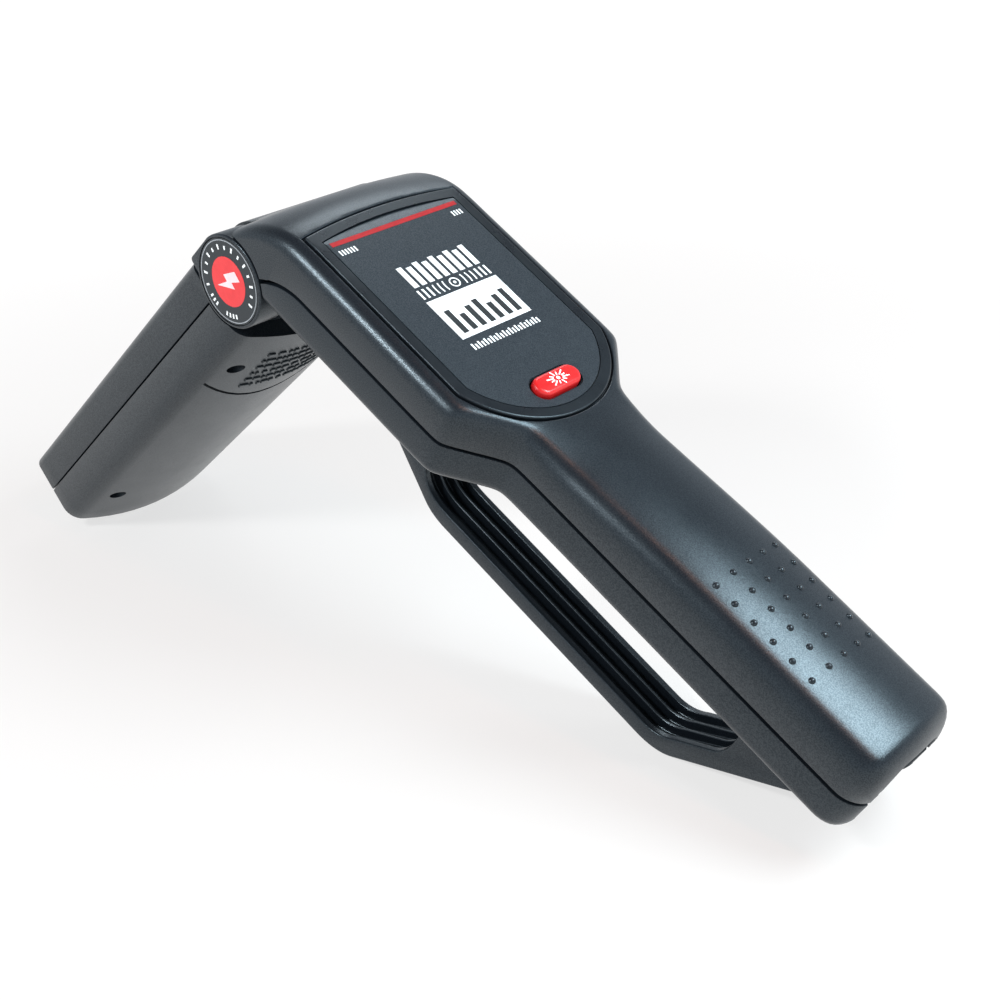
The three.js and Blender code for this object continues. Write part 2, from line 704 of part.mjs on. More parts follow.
handle.add(
  piece('handle_rear_shell', handleRearShell(), CASE),
  piece('handle_front_shell', handleFrontShell(), CASE),
  piece('hand_guard', handGuard(), CASE),
  piece('panel_plate', panelPlate(), PLATE),
  piece('panel_overlay', panelOverlay(), FILM),
  piece('flash_button', flashButton(), RED),
  piece('switch_plunger', bar('z', 1.5, 21.7, 23.7, [BUTTON_X, 0], 10), DARK),
  piece('switch_body', switchBody(), DARK),
  piece('control_board', controlBoard(), BOARD),
  piece('inverter_core', transformer(), DARK),
  piece('inverter_winding', transformerWinding(), COIL),
  piece('power_transistor', powerTransistor(), DARK),
  piece('storage_capacitor', storageCapacitor(), DARK),
  piece('lead_socket', leadSocket(), DARK),
  piece('supply_leads', supplyLeads(), WIRE),
);
CONTACT_PLACES.forEach((place, i) => handle.add(piece(`socket_contact_${i + 1}`, contact(place), BRASS)));
HANDLE_SCREWS.forEach(([x, y], i) => handle.add(piece(`handle_screw_${i + 1}`, screw(x, y, 5.2, 22), STEEL)));
GUARD_SCREW_X.forEach((x, i) => handle.add(piece(`guard_screw_${i + 1}`, screw(x, 0, -3.3, 9.5), STEEL)));
[-BOARD_SCREW_Y, BOARD_SCREW_Y].forEach((y, i) =>
  handle.add(piece(`board_screw_${i + 1}`, screw(BOARD_SCREW_X, y, 15.8, 24.2, 2.5), STEEL)));
for (const [name, side] of SIDES) {
  handle.add(piece(`hinge_pin_${name}`, hingePin(side), STEEL));
  handle.add(piece(`friction_washer_${name}`, frictionWasher(side), DARK));
}

barrel.add(
  piece('barrel_upper_shell', barrelUpperShell(), CASE),
  piece('barrel_lower_shell', barrelLowerShell(), CASE),
  piece('lens', lens(), GLASS),
  piece('lens_gasket', lensGasket(), DARK),
  piece('reflector', reflector(), MIRROR),
  piece('xenon_tube', xenonTube(), GLASS),
  piece('tube_board', tubeBoard(), BOARD),
  piece('trigger_coil', triggerCoil(), COIL),
  piece('lamp_leads', lampLeads(), WIRE),
);
for (const [name, side] of SIDES) {
  barrel.add(piece(`hinge_label_${name}`, hingeLabel(side), PLATE));
  barrel.add(piece(`tube_clip_${name}`, tubeClip(side), STEEL));
}
barrelScrewPlaces().forEach(([x, y], i) =>
  barrel.add(piece(`barrel_screw_${i + 1}`, screw(-x, y, -9.2, 7.5, 2.5), STEEL)));

// Stand the folded tool on the ground with its origin at the middle of its footprint.
handle.rotation.y = STAND_TILT;
model.updateMatrixWorld(true);
const bounds = new THREE.Box3().setFromObject(model, true);
handle.position.set(-(bounds.min.x + bounds.max.x) / 2, -(bounds.min.y + bounds.max.y) / 2, -bounds.min.z);

export default model;
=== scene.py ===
import json
import math
import random

import bmesh
import bpy
from mathutils import Matrix, Vector


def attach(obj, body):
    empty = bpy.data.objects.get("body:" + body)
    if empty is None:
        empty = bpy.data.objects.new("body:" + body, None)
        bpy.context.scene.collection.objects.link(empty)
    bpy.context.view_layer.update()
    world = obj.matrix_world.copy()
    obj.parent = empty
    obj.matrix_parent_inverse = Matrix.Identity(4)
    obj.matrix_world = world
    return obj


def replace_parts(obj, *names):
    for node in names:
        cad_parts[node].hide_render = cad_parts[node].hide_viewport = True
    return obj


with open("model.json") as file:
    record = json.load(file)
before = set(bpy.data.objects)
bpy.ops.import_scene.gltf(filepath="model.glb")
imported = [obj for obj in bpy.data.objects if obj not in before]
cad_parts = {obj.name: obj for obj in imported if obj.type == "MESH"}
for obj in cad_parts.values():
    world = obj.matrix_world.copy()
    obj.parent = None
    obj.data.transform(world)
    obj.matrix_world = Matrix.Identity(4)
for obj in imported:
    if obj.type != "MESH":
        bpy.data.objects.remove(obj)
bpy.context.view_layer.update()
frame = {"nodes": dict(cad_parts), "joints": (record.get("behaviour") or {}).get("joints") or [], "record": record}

# ---------- frames ----------
# Every piece is drawn in millimetres, in the handle's own frame or in the barrel's, and then placed.
# Handle: origin on the hinge axis, X to the grip's end, Z out of the label panel.
# Barrel: same origin, the lens lies towards -X, Z points out of the top cover.

JOINTS = {joint["name"]: joint for joint in frame["joints"]}
HINGE = Vector(JOINTS["barrel_fold"]["pos_m"])
FOLD = math.radians(JOINTS["barrel_fold"]["range_deg"][1])
PRESS = Vector(JOINTS["button_press"]["axis"]).normalized()
MM = Matrix.Scale(0.001, 4)
HANDLE = Matrix((
    (-PRESS.z, 0, -PRESS.x, HINGE.x),
    (0, 1, 0, HINGE.y),
    (PRESS.x, 0, -PRESS.z, HINGE.z),
    (0, 0, 0, 1),
))
BARREL = HANDLE @ Matrix.Rotation(-FOLD, 4, "Y")

# ---------- sizes, as in the CAD model, in millimetres ----------

# Walls, the gap between neighbours, and a distance well outside the tool for cutters.
WALL = 2.4
GAP = 0.3
FAR = 60

# Handle: half widths, where the waist starts, levels, and the parting line of its shells.
HEAD_HALF, GRIP_HALF = 35, 20.5
WAIST_START = 86.5
HANDLE_END, END_ROUND = 228, 8.5
HEAD_TOP, GRIP_RISE = 30.3, 2.8
HANDLE_BASE = 3.5
CEILING = 26.1
SEAM_Z, SEAM_GAP = 16.5, 1.0
HANDLE_SCREWS = [(26, 25), (26, -25), (182, 12.5), (182, -12.5)]

# Hinge: the handle's hub and nose, the barrel's ears and their round labels.
HUB_R, HUB_HALF = 15, 23.6
NOSE_R, NOSE_X, NOSE_TANGENT = 28, 18.9, math.radians(140)
RECESS_R = 15.2
EAR_R, EAR_IN, EAR_OUT, EAR_PAD = 14.3, 24.9, 35.2, 11
LABEL_R, LABEL_DEPTH = 13.1, 0.9
PIN_BORE_R, PIN_BORE_START = 4.1, 13.7

# Barrel.
BARREL_HALF, BARREL_LENGTH = 34.8, 169.5
BARREL_TOP, BARREL_BASE, BARREL_BELLY = 16, -20, 7.5
BARREL_START, BARREL_SEAM, BARREL_SEAM_HALF = 13.2, 0.5, 0.25
CAVITY_START = 18
GROOVE_REACH, GROOVE_BOW, GROOVE_HALF = 60, 16, 33
LENS_BACK, LENS_FRONT = 163.5, 166.5
BARREL_SCREWS = [(x, y) for x in (35, 145) for y in (-25, 25)]

# Label panel and button.
PANEL_HALF, PANEL_TOP_X, PANEL_BOW = 30, 17, 2.6
PANEL_ARC_R, PANEL_ARC_X = 32, 71.5
PANEL_FLOOR = 28.3
BEVEL_X, PLATE_SLOPE, FILM_SLOPE = 22.4, 0.04, 0.2
BUTTON_X, BUTTON_HALF, BUTTON_R = 91.9, 8.6, 3.4
BUTTON_EDGE_Z, BUTTON_ROUND, BUTTON_TOP_Z = 30.6, 1.2, 31.86
PRINT_LOW, PRINT_HIGH = HEAD_TOP - 0.2, HEAD_TOP - 0.05

# Opening in the grip's end.
NOTCH_HALF, NOTCH_TOP, NOTCH_CORNER = 13.6, 27.2, 9

# Hand guard.
GUARD_HALF, GUARD_RIM, GUARD_BASE = 8.6, -32, -37.5
GUARD_WALL, RIB_COUNT, RIB_THICK = 2.2, 2, 0.8
GUARD_SCREWS = [56, 197]

# Self-tapping screws: the core hole, the boss round it and the well of the screw's head.
SCREW_CORE_R, BOSS_R, HEAD_WELL_R = 1.5, 3.2, 3.1

# ---------- mesh tools ----------


def solid(points, faces):
    mesh = bpy.data.meshes.new("draft")
    mesh.from_pydata([tuple(p) for p in points], [], faces)
    bm = bmesh.new()
    bm.from_mesh(mesh)
    bmesh.ops.recalc_face_normals(bm, faces=bm.faces)
    bm.to_mesh(mesh)
    bm.free()
    obj = bpy.data.objects.new("draft", mesh)
    bpy.context.scene.collection.objects.link(obj)
    return obj


def skin(rings):
    """A closed solid through a row of rings that all have the same number of points."""
    count = len(rings[0])
    faces = []
    for s in range(len(rings) - 1):
        for i in range(count):
            a = s * count + i
            b = s * count + (i + 1) % count
            faces.append((a, b, b + count, a + count))
    last = (len(rings) - 1) * count
    faces.append(tuple(range(count)))
    faces.append(tuple(range(last, last + count)))
    return solid([p for r in rings for p in r], faces)


def block(x0, x1, y0, y1, z0, z1):
    return skin([[(x, y0, z0), (x, y1, z0), (x, y1, z1), (x, y0, z1)] for x in (x0, x1)])


def circle(radius, count):
    points = []
    for i in range(count):
        angle = 2 * math.pi * i / count
        points.append((radius * math.cos(angle), radius * math.sin(angle)))
    return points


def bend(start, control, stop, count=8):
    """Points of a quadratic curve, without its first point."""
    points = []
    for i in range(1, count + 1):
        t = i / count
        trio = zip(start, control, stop)
        points.append(tuple((1 - t) ** 2 * a + 2 * t * (1 - t) * b + t * t * c for a, b, c in trio))
    return points


def spread(low, high, step):
    """Even steps from low to high, without high itself."""
    count = max(1, round((high - low) / step))
    return [low + (high - low) * i / count for i in range(count)]


def along_y(outline, y0, y1):
    return skin([[(x, y, z) for x, z in outline] for y in (y0, y1)])


def along_z(outline, z0, z1):
    return skin([[(x, y, z) for x, y in outline] for z in (z0, z1)])


def bar(axis, radius, low, high, centre, count=48):
    """A round bar along an axis, with centre on the other two axes."""
    spots = circle(radius, count)
    a, b = centre
    if axis == "x":
        return skin([[(level, a + u, b + v) for u, v in spots] for level in (low, high)])
    if axis == "y":
        return skin([[(a + u, level, b + v) for u, v in spots] for level in (low, high)])
    return skin([[(a + u, b + v, level) for u, v in spots] for level in (low, high)])


def facing(side, near, far):
    """The two distances from the middle plane as low and high Y on one side of the tool."""
    return sorted((side * near, side * far))


def combine(target, tool, how="DIFFERENCE"):
    change = target.modifiers.new("combine", "BOOLEAN")
    change.operation = how
    change.solver = "MANIFOLD"
    change.object = tool
    bpy.context.view_layer.update()
    graph = bpy.context.evaluated_depsgraph_get()
    mesh = bpy.data.meshes.new_from_object(target.evaluated_get(graph))
    target.modifiers.clear()
    target.data = mesh
    bpy.data.objects.remove(tool)
    return target


def cut(target, *tools):
    for tool in tools:
        combine(target, tool)
    return target


def join(target, *tools):
    for tool in tools:
        combine(target, tool, "UNION")
    return target


def round_edges(obj, width, chosen, segments=2, sharper=40):
    """Rounds the edges over that many degrees for which chosen(middle of the edge) holds."""
    bm = bmesh.new()
    bm.from_mesh(obj.data)
    bmesh.ops.remove_doubles(bm, verts=bm.verts, dist=0.01)
    bmesh.ops.dissolve_degenerate(bm, dist=0.01, edges=bm.edges)
    limit = math.radians(sharper)
    edges = []
    for edge in bm.edges:
        if len(edge.link_faces) != 2 or edge.calc_face_angle(0) < limit:
            continue
        middle = (edge.verts[0].co + edge.verts[1].co) / 2
        if chosen(middle):
            edges.append(edge)
    bmesh.ops.bevel(bm, geom=edges, offset=width, segments=segments, profile=0.5, affect="EDGES",
                    clamp_overlap=False)
    bm.to_mesh(obj.data)
    bm.free()
    return obj


def finish(obj, name, place, body, material, stands_for=(), crease=35):
    """Places a finished piece, names it, and says what it rides on and stands for."""
    obj.name = name
    obj.data.name = name
    obj.data.transform(place @ MM)
    for face in obj.data.polygons:
        face.use_smooth = True
    obj.data.set_sharp_from_angle(angle=math.radians(crease))
    obj.data.materials.clear()
    obj.data.materials.append(material)
    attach(obj, body)
    if stands_for:
        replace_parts(obj, *stands_for)
    return obj


# ---------- shape functions shared with the CAD model ----------


def soft(value, blend):
    """A ramp that is 0 below 0 and the value above it, with a rounded foot."""
    return (value + math.sqrt(value * value + blend * blend)) / 2


def smooth(low, high, value):
    """Runs from 0 at low to 1 at high without a kink."""
    t = min(1, max(0, (value - low) / (high - low)))
    return t * t * (3 - 2 * t)


def closing(radius, distance):
    """How far a rounded end has drawn in, at a distance from its tip."""
    if distance >= radius:
        return 0
    return radius - math.sqrt(radius ** 2 - (radius - distance) ** 2)


def handle_top(x):
    """Level of the handle's top along its middle: hinge tangent, nose, head and grip."""
    if x >= NOSE_X:
        return HEAD_TOP + GRIP_RISE * smooth(98, 175, x)
    if x >= NOSE_X + NOSE_R * math.cos(NOSE_TANGENT):
        return HEAD_TOP - NOSE_R + math.sqrt(NOSE_R ** 2 - (x - NOSE_X) ** 2)
    return (HUB_R - x * math.cos(NOSE_TANGENT)) / math.sin(NOSE_TANGENT)


def handle_half(x):
    """Half width of the handle: the head, the 45 degree waist and the grip."""
    return HEAD_HALF - soft(x - WAIST_START, 1.6) + soft(x - WAIST_START - HEAD_HALF + GRIP_HALF, 2)


def grip_share(x):
    """0 on the head and 1 on the grip."""
    return smooth(92, 120, x)


def handle_drop(x):
    """How far the crown falls from the middle to the handle's sides."""
    return 0.8 + 1.6 * (1 - smooth(0, 24, x)) + 3 * grip_share(x)


def crown(x, y):
    """Level of the handle's crowned top."""
    return handle_top(x) - handle_drop(x) * (y / handle_half(x)) ** 2


def ring(x, half, top, base, drop, shoulder, corner, belly=0.0):
    """A moulded section whose shoulders and corners run smoothly into its crown and base."""
    points = []

    def arc(y, z, radius, low, high, steps):
        for i in range(steps + 1):
            angle = low + (high - low) * i / steps
            points.append((x, y + radius * math.cos(angle), z + radius * math.sin(angle)))

    def level(y):
        return top - drop * (y / half) ** 2

    def under(y):
        return base + belly * (y / half) ** 2

    slope = math.atan(2 * drop * (half - shoulder) / half ** 2)
    edge = half - shoulder + shoulder * math.sin(slope)
    centre = level(edge) - shoulder * math.cos(slope)
    rise = math.atan(2 * belly * (half - corner) / half ** 2)
    foot = half - corner + corner * math.sin(rise)
    heel = under(foot) + corner * math.cos(rise)
    quarter = math.pi / 2
    corner_steps, shoulder_steps, crown_steps, base_steps = 7, 10, 9, 6
    arc(half - corner, heel, corner, rise - quarter, 0, corner_steps)
    arc(half - shoulder, centre, shoulder, 0, quarter - slope, shoulder_steps)
    for i in range(1, 2 * crown_steps):
        y = edge * (1 - i / crown_steps)
        points.append((x, y, level(y)))
    arc(shoulder - half, centre, shoulder, quarter + slope, math.pi, shoulder_steps)
    arc(corner - half, heel, corner, math.pi, 3 * quarter - rise, corner_steps)
    for i in range(1, 2 * base_steps):
        y = foot * (i / base_steps - 1)
        points.append((x, y, under(y)))
    return points


def handle_ring(x, inset=0.0):
    """The handle's section at x, which draws in towards the grip's rounded end."""
    to_end = HANDLE_END - inset - x
    hinge_dip = 7 * (1 - smooth(-5, 7, x))
    return ring(
        x,
        half=handle_half(x) - inset - closing(END_ROUND, to_end),
        top=handle_top(x) - 0.01 - inset - 1.8 * closing(6, to_end),
        base=HANDLE_BASE + inset + closing(4, to_end) - hinge_dip,
        drop=handle_drop(x),
        shoulder=max(5.2 + 2.4 * grip_share(x) - inset, 1.5),
        corner=max(4 - inset, 1.2),
    )


def handle_envelope():
    """The handle's outer form with the hub of the hinge and the seats of the barrel's ears."""
    stations = spread(-11.5, 24, 1.3) + spread(24, 80, 3.5) + spread(80, 108, 0.8)
    stations += spread(108, 125, 1.7) + spread(125, HANDLE_END - END_ROUND, 5)
    for degrees in range(0, 91, 9):
        stations.append(HANDLE_END - END_ROUND * (1 - math.sin(math.radians(degrees))))
    body = skin([handle_ring(x) for x in stations])
    for side in (-1, 1):
        low, high = facing(side, HUB_HALF, 45)
        seat = bar("y", RECESS_R, low, high, (0, 0), 96)
        cut(body, seat, block(-20, -5, low, high, -30, 40))
    return join(body, bar("y", HUB_R, -HUB_HALF, HUB_HALF, (0, 0), 96))


def handle_cavity():
    stop = HANDLE_END - WALL
    stations = spread(20, 80, 10) + spread(80, 110, 2) + spread(110, stop, 12) + [stop]
    return cut(skin([handle_ring(x, WALL) for x in stations]), block(-5, 108, -40, 40, CEILING, FAR))


def parting(upper):
    """Everything on one side of the parting surface of the two handle shells."""
    shift = SEAM_GAP / 2 if upper else -SEAM_GAP / 2
    level = SEAM_Z + shift
    x_end = HANDLE_END + 10
    z_far = FAR if upper else -FAR
    foot = -27 + shift
    outline = [(x_end, level), (28, level)]
    outline += bend((28, level), (19, level), (11.5 - shift, 10.3 + shift), 12)
    outline += [(-30 - shift, foot), (-FAR, foot), (-FAR, z_far), (x_end, z_far)]
    return along_y(outline, -FAR, FAR)


def panel_outline(inset):
    """The label panel's outline: straight sides, a round lower end and a bowed upper edge."""
    half = PANEL_HALF - inset
    radius = PANEL_ARC_R - inset
    swing = math.asin(half / radius)
    end_steps, steps = 60, 12
    outline = []
    for i in range(end_steps + 1):
        angle = -swing + 2 * swing * i / end_steps
        outline.append((PANEL_ARC_X + radius * math.cos(angle), radius * math.sin(angle)))
    side = PANEL_ARC_X + radius * math.cos(swing)
    for i in range(1, steps):
        outline.append((side + (PANEL_TOP_X + inset - side) * i / steps, half))
    for i in range(2 * steps + 1):
        y = half * (1 - i / steps)
        outline.append((PANEL_TOP_X + inset - PANEL_BOW * (1 - (y / half) ** 2), y))
    for i in range(1, steps):
        outline.append((PANEL_TOP_X + inset + (side - PANEL_TOP_X - inset) * i / steps, -half))
    return outline


def stadium(grow):
    """The button's outline, which is straight along Y with round ends."""
    radius = BUTTON_R + grow
    reach = BUTTON_HALF - BUTTON_R
    count = 14
    outline = []
    for side, turn in ((1, 0), (-1, math.pi)):
        for i in range(count + 1):
            angle = math.pi * i / count + turn
            outline.append((BUTTON_X + radius * math.cos(angle), side * reach + radius * math.sin(angle)))
    return outline


# ---------- handle shells ----------


def panel_recess():
    """Cutter for the panel's seat, flared at the top so that the lip comes out rounded."""
    rings = [[(x, y, PANEL_FLOOR) for x, y in panel_outline(0)]]
    lip = 0.5
    for i in range(7):
        angle = math.radians(15 * i)
        grow = lip * (1 - math.cos(angle))
        down = lip * (1 - math.sin(angle))
        rings.append([(x, y, crown(x, y) - down) for x, y in panel_outline(-grow)])
    rings.append([(x, y, FAR) for x, y in panel_outline(-lip)])
    return skin(rings)


def socket_notch():
    """Cutter for the arched opening in the grip's end wall, with a rounded rim."""
    flank, shoulder = NOTCH_HALF - NOTCH_CORNER, NOTCH_TOP - NOTCH_CORNER
    foot = -10
    flare = ((217, 0), (226.2, 0), (226.8, 0.15), (227.4, 0.5), (228.1, 0.9), (232, 3))
    rings = []
    for x, grow in flare:
        reach = NOTCH_CORNER + grow
        outline = [(-NOTCH_HALF - grow, foot), (NOTCH_HALF + grow, foot)]
        for side, start in ((1, 0), (-1, 90)):
            for i in range(13):
                angle = math.radians(start + 7.5 * i)
                outline.append((side * flank + reach * math.cos(angle), shoulder + reach * math.sin(angle)))
        rings.append([(x, y, z) for y, z in outline])
    return skin(rings)


def wire_slot():
    """Cutter for the way of the lamp's leads from the head round the hinge."""
    radius, half = 19, 4.5
    outline = [(22, 7), (22, 14), (-4, 5), (-radius, 5)]
    for degrees in range(165, 266, 10):
        angle = math.radians(degrees)
        outline.append((radius * math.cos(angle), radius * math.sin(angle)))
    return along_y(outline + [(4, -4)], -half, half)


def pin_bores():
    """Cutters for the two hinge pins, which leave the hub's middle whole."""
    return [bar("y", PIN_BORE_R, *facing(side, PIN_BORE_START, 40), (0, 0), 32) for side in (-1, 1)]


def outside(x, y, z):
    """True on the handle's outer side and end walls, where the parting line shows."""
    return abs(y) > handle_half(x) - 1 - closing(END_ROUND, HANDLE_END - x) or x > HANDLE_END - 1.5


def handle_rear_shell(material):
    """The half with the label panel's seat, the button's opening and the screw bosses."""
    button_hole = along_z(stadium(0.7), CEILING - 4, FAR)
    shell = cut(handle_envelope(), handle_cavity(), panel_recess(), button_hole)
    for x, y in HANDLE_SCREWS:
        join(shell, bar("z", BOSS_R, 12, handle_top(x) - 3, (x, y), 24))
    cut(shell, wire_slot(), *pin_bores(), socket_notch())
    combine(shell, parting(True), "INTERSECT")
    for x, y in HANDLE_SCREWS:
        cut(shell, bar("z", SCREW_CORE_R, 5, 24, (x, y), 16))
    round_edges(shell, 0.35, lambda p: outside(*p) and p.z < 22 and p.x > 14)
    return finish(shell, "rear_shell", HANDLE, "handle", material, ["handle_rear_shell"])


def handle_front_shell(material):
    """The half towards the fingers, with the wells of the handle's screws."""
    shell = cut(handle_envelope(), handle_cavity())
    for x, y in HANDLE_SCREWS:
        join(shell, bar("z", BOSS_R, HANDLE_BASE + 0.5, SEAM_Z - 1, (x, y), 24))
    for x in GUARD_SCREWS:
        join(shell, bar("z", BOSS_R, HANDLE_BASE + 0.5, 12, (x, 0), 24))
    cut(shell, wire_slot(), *pin_bores(), socket_notch())
    combine(shell, parting(False), "INTERSECT")
    for x, y in HANDLE_SCREWS:
        cut(shell, bar("z", SCREW_CORE_R, 0, 20, (x, y), 16), bar("z", HEAD_WELL_R, 0, 7.3, (x, y), 32))
    for x in GUARD_SCREWS:
        cut(shell, bar("z", SCREW_CORE_R, 0, 10.5, (x, 0), 16))
    round_edges(shell, 0.35, lambda p: outside(*p) and p.x > 14 and p.z > 10)
    return finish(shell, "front_shell", HANDLE, "handle", material, ["handle_front_shell"])


def stud(x, y, points, faces):
    """Adds one low dome on the grip's crown, closed by a point under the skin."""
    radius, squash, sink, root = 1.0, 0.95, 0.25, 0.9
    sides, levels = 16, 5
    start = len(points)
    top = crown(x, y)
    tilt = -2 * handle_drop(x) * y / handle_half(x) ** 2
    for level in range(levels):
        angle = math.radians(90 * level / levels)
        rise = squash * radius * math.sin(angle)
        for u, v in circle(radius * math.cos(angle), sides):
            points.append((x + u, y + v, top + tilt * v - sink + rise))
    points.append((x, y, top - sink + squash * radius))
    points.append((x, y, top - root))
    tip, bottom = start + levels * sides, start + levels * sides + 1
    for level in range(levels - 1):
        for i in range(sides):
            a = start + level * sides + i
            b = start + level * sides + (i + 1) % sides
            faces.append((a, b, b + sides, a + sides))
    last = start + (levels - 1) * sides
    for i in range(sides):
        after = (i + 1) % sides
        faces.append((last + i, last + after, tip))
        faces.append((start + after, start + i, bottom))


def grip_studs(material):
    """Six rows of five studs."""
    first_x, pitch, rows, columns = 164.3, 6.66, 6, 5
    points, faces = [], []
    for row in range(rows):
        for column in range(columns):
            stud(first_x + pitch * row, (column - columns // 2) * pitch, points, faces)
    return finish(solid(points, faces), "grip_studs", HANDLE, "handle", material)


# ---------- hand guard ----------


def guard_outline():
    """Side view of the guard: the short front leg, the bar under the fingers and the long rear leg."""
    outline = [(45, 3.2), (46, -13)]
    outline += bend(outline[-1], (47.5, -19), (54, -22.6))
    outline += [(75.5, -35.4)] + bend((75.5, -35.4), (79.5, GUARD_BASE), (85, GUARD_BASE))
    outline += [(169, GUARD_BASE)] + bend((169, GUARD_BASE), (176.5, GUARD_BASE), (181, -34))
    return outline + [(222, 1.2), (222, 3.2)]


def finger_hole(grow):
    """Side view of the opening for the fingers, made larger all round by grow."""
    rim = GUARD_RIM - grow
    outline = [(70 - grow, 10), (70 - grow, -20)]
    outline += bend(outline[-1], (70 - grow, rim), (84, rim))
    outline += [(169, rim)] + bend((169, rim), (175, rim), (179 + grow * 0.6, -27.5 - grow * 0.6))
    outline += [(189 + grow, -19)] + bend((189 + grow, -19), (192 + grow, -16), (192 + grow, -11))
    return outline + [(192 + grow, 10)]


def guard_side(p):
    """True on the edges of the guard's two side faces below the handle."""
    return abs(p.y) > GUARD_HALF - 0.1 and p.z < 1.1


def guard_channel_rim(p):
    """True on the edges of the ribs in the guard's channels."""
    return abs(p.y) < GUARD_HALF - 1 and -0.5 > p.z > GUARD_BASE + 3


def hand_guard(material):
    """The guard, with channels that leave thin ribs between them along the opening."""
    channel_depth = 3.4
    guard = cut(along_y(guard_outline(), -GUARD_HALF, GUARD_HALF), along_y(finger_hole(0), -30, 30))
    round_edges(guard, 0.6, guard_side, segments=3, sharper=60)
    width = (2 * (GUARD_HALF - GUARD_WALL) - RIB_COUNT * RIB_THICK) / (RIB_COUNT + 1)
    for i in range(RIB_COUNT + 1):
        low = GUARD_WALL - GUARD_HALF + i * (width + RIB_THICK)
        channel = along_y(finger_hole(channel_depth), low, low + width)
        combine(channel, block(60, 193, -30, 30, GUARD_BASE + GUARD_WALL, -6), "INTERSECT")
        cut(guard, channel)
    round_edges(guard, 0.18, guard_channel_rim, segments=1, sharper=60)
    for x in GUARD_SCREWS:
        cut(guard, bar("z", SCREW_CORE_R, -FAR, 6, (x, 0), 16), bar("z", HEAD_WELL_R, -FAR, -1.2, (x, 0), 32))
    return finish(guard, "finger_guard", HANDLE, "handle", material, ["hand_guard"])


# ---------- label panel and button ----------


def panel_profile(low, high, slope):
    """Side view of a sheet that falls away towards the hinge from the red line on."""
    x0, x1 = 5, 115
    fall = slope * (BEVEL_X - x0)
    return [(x0, low - fall), (BEVEL_X, low), (x1, low), (x1, high), (BEVEL_X, high), (x0, high - fall)]


def panel_plate(material):
    """The dark border plate, with a seat for the film and the button's opening."""
    plate = along_z(panel_outline(0.6), PANEL_FLOOR + GAP, 40)
    combine(plate, along_y(panel_profile(15, HEAD_TOP - 0.1, PLATE_SLOPE), -40, 40), "INTERSECT")
    round_edges(plate, 0.45, lambda p: p.z > PANEL_FLOOR + 0.4, segments=3)
    film_seat = along_z(panel_outline(4), 20, 40)
    combine(film_seat, along_y(panel_profile(HEAD_TOP - 0.6, FAR, FILM_SLOPE), -40, 40), "INTERSECT")
    cut(plate, film_seat, along_z(stadium(0.5), 20, 40))
    return finish(plate, "label_plate", HANDLE, "handle", material, ["panel_plate"], crease=12)


def panel_film(material):
    """The printed film. Its upper end slopes a little more than the plate's."""
    film = along_z(panel_outline(4.3), 20, 40)
    combine(film, along_y(panel_profile(HEAD_TOP - 0.4, HEAD_TOP - 0.1, FILM_SLOPE), -40, 40), "INTERSECT")
    cut(film, along_z(stadium(0.9), 20, 40))
    return finish(film, "label_film", HANDLE, "handle", material, ["panel_overlay"], crease=5)


def flash_button(material):
    """The cap with its flange under the plate, its rounded edge and the stem below."""
    flange = 1.6
    cap = []
    for grow, z in ((flange, 24.7), (flange, 25.7), (0, 25.7), (0, BUTTON_EDGE_Z)):
        cap.append([(x, y, z) for x, y in stadium(grow)])
    for i in range(1, 7):
        angle = math.radians(15 * i)
        grow = -BUTTON_ROUND * (1 - math.cos(angle))
        level = BUTTON_EDGE_Z + BUTTON_ROUND * math.sin(angle)
        cap.append([(x, y, level) for x, y in stadium(grow)])
    cap.append([(x, y, BUTTON_TOP_Z) for x, y in stadium(-2.2)])
    button = skin(cap)
    join(button, bar("z", 1.8, 24, 25.5, (BUTTON_X, 0), 24))
    return finish(button, "push_button", HANDLE, "button", material, ["flash_button"])


# ---------- printing ----------


class Print:
    """Collects thin raised patches between two levels and makes one mesh of them."""

    def __init__(self, low, high, spot=lambda u, v, w: (u, v, w)):
        self.low, self.high, self.spot = low, high, spot
        self.points, self.faces = [], []

    def patch(self, outline):
        start, count = len(self.points), len(outline)
        for level in (self.low, self.high):
            self.points += [self.spot(u, v, level) for u, v in outline]
        self.faces.append(tuple(range(start, start + count)))
        self.faces.append(tuple(range(start + count, start + 2 * count)))
        for i in range(count):
            a, b = start + i, start + (i + 1) % count
            self.faces.append((a, b, b + count, a + count))

    def bar(self, u0, u1, v0, v1):
        self.patch([(u0, v0), (u1, v0), (u1, v1), (u0, v1)])

    def band(self, centre, inner, outer, low, high, steps):
        """A stretch of a ring between two angles in degrees."""
        spots = [math.radians(low + (high - low) * i / steps) for i in range(steps + 1)]
        edge = [(centre[0] + outer * math.cos(a), centre[1] + outer * math.sin(a)) for a in spots]
        edge += [(centre[0] + inner * math.cos(a), centre[1] + inner * math.sin(a)) for a in reversed(spots)]
        self.patch(edge)

    def done(self, name, place, body, material, slot):
        return finish(solid(self.points, self.faces), name, place, body, material, crease=30)


def red_line(red):
    line = Print(PRINT_LOW, PRINT_HIGH)
    line.bar(BEVEL_X + 0.1, BEVEL_X + 1.7, -24.6, 24.6)
    line.done("label_red_line", HANDLE, "handle", red, "film")


def bar_row(marks, count, pitch, x0, x1, half, stagger):
    """A row of bars across the label, in which every other bar starts later."""
    for i in range(count):
        y = (i - (count - 1) / 2) * pitch
        marks.bar(x0 + stagger * (i % 2), x1, y - half, y + half)


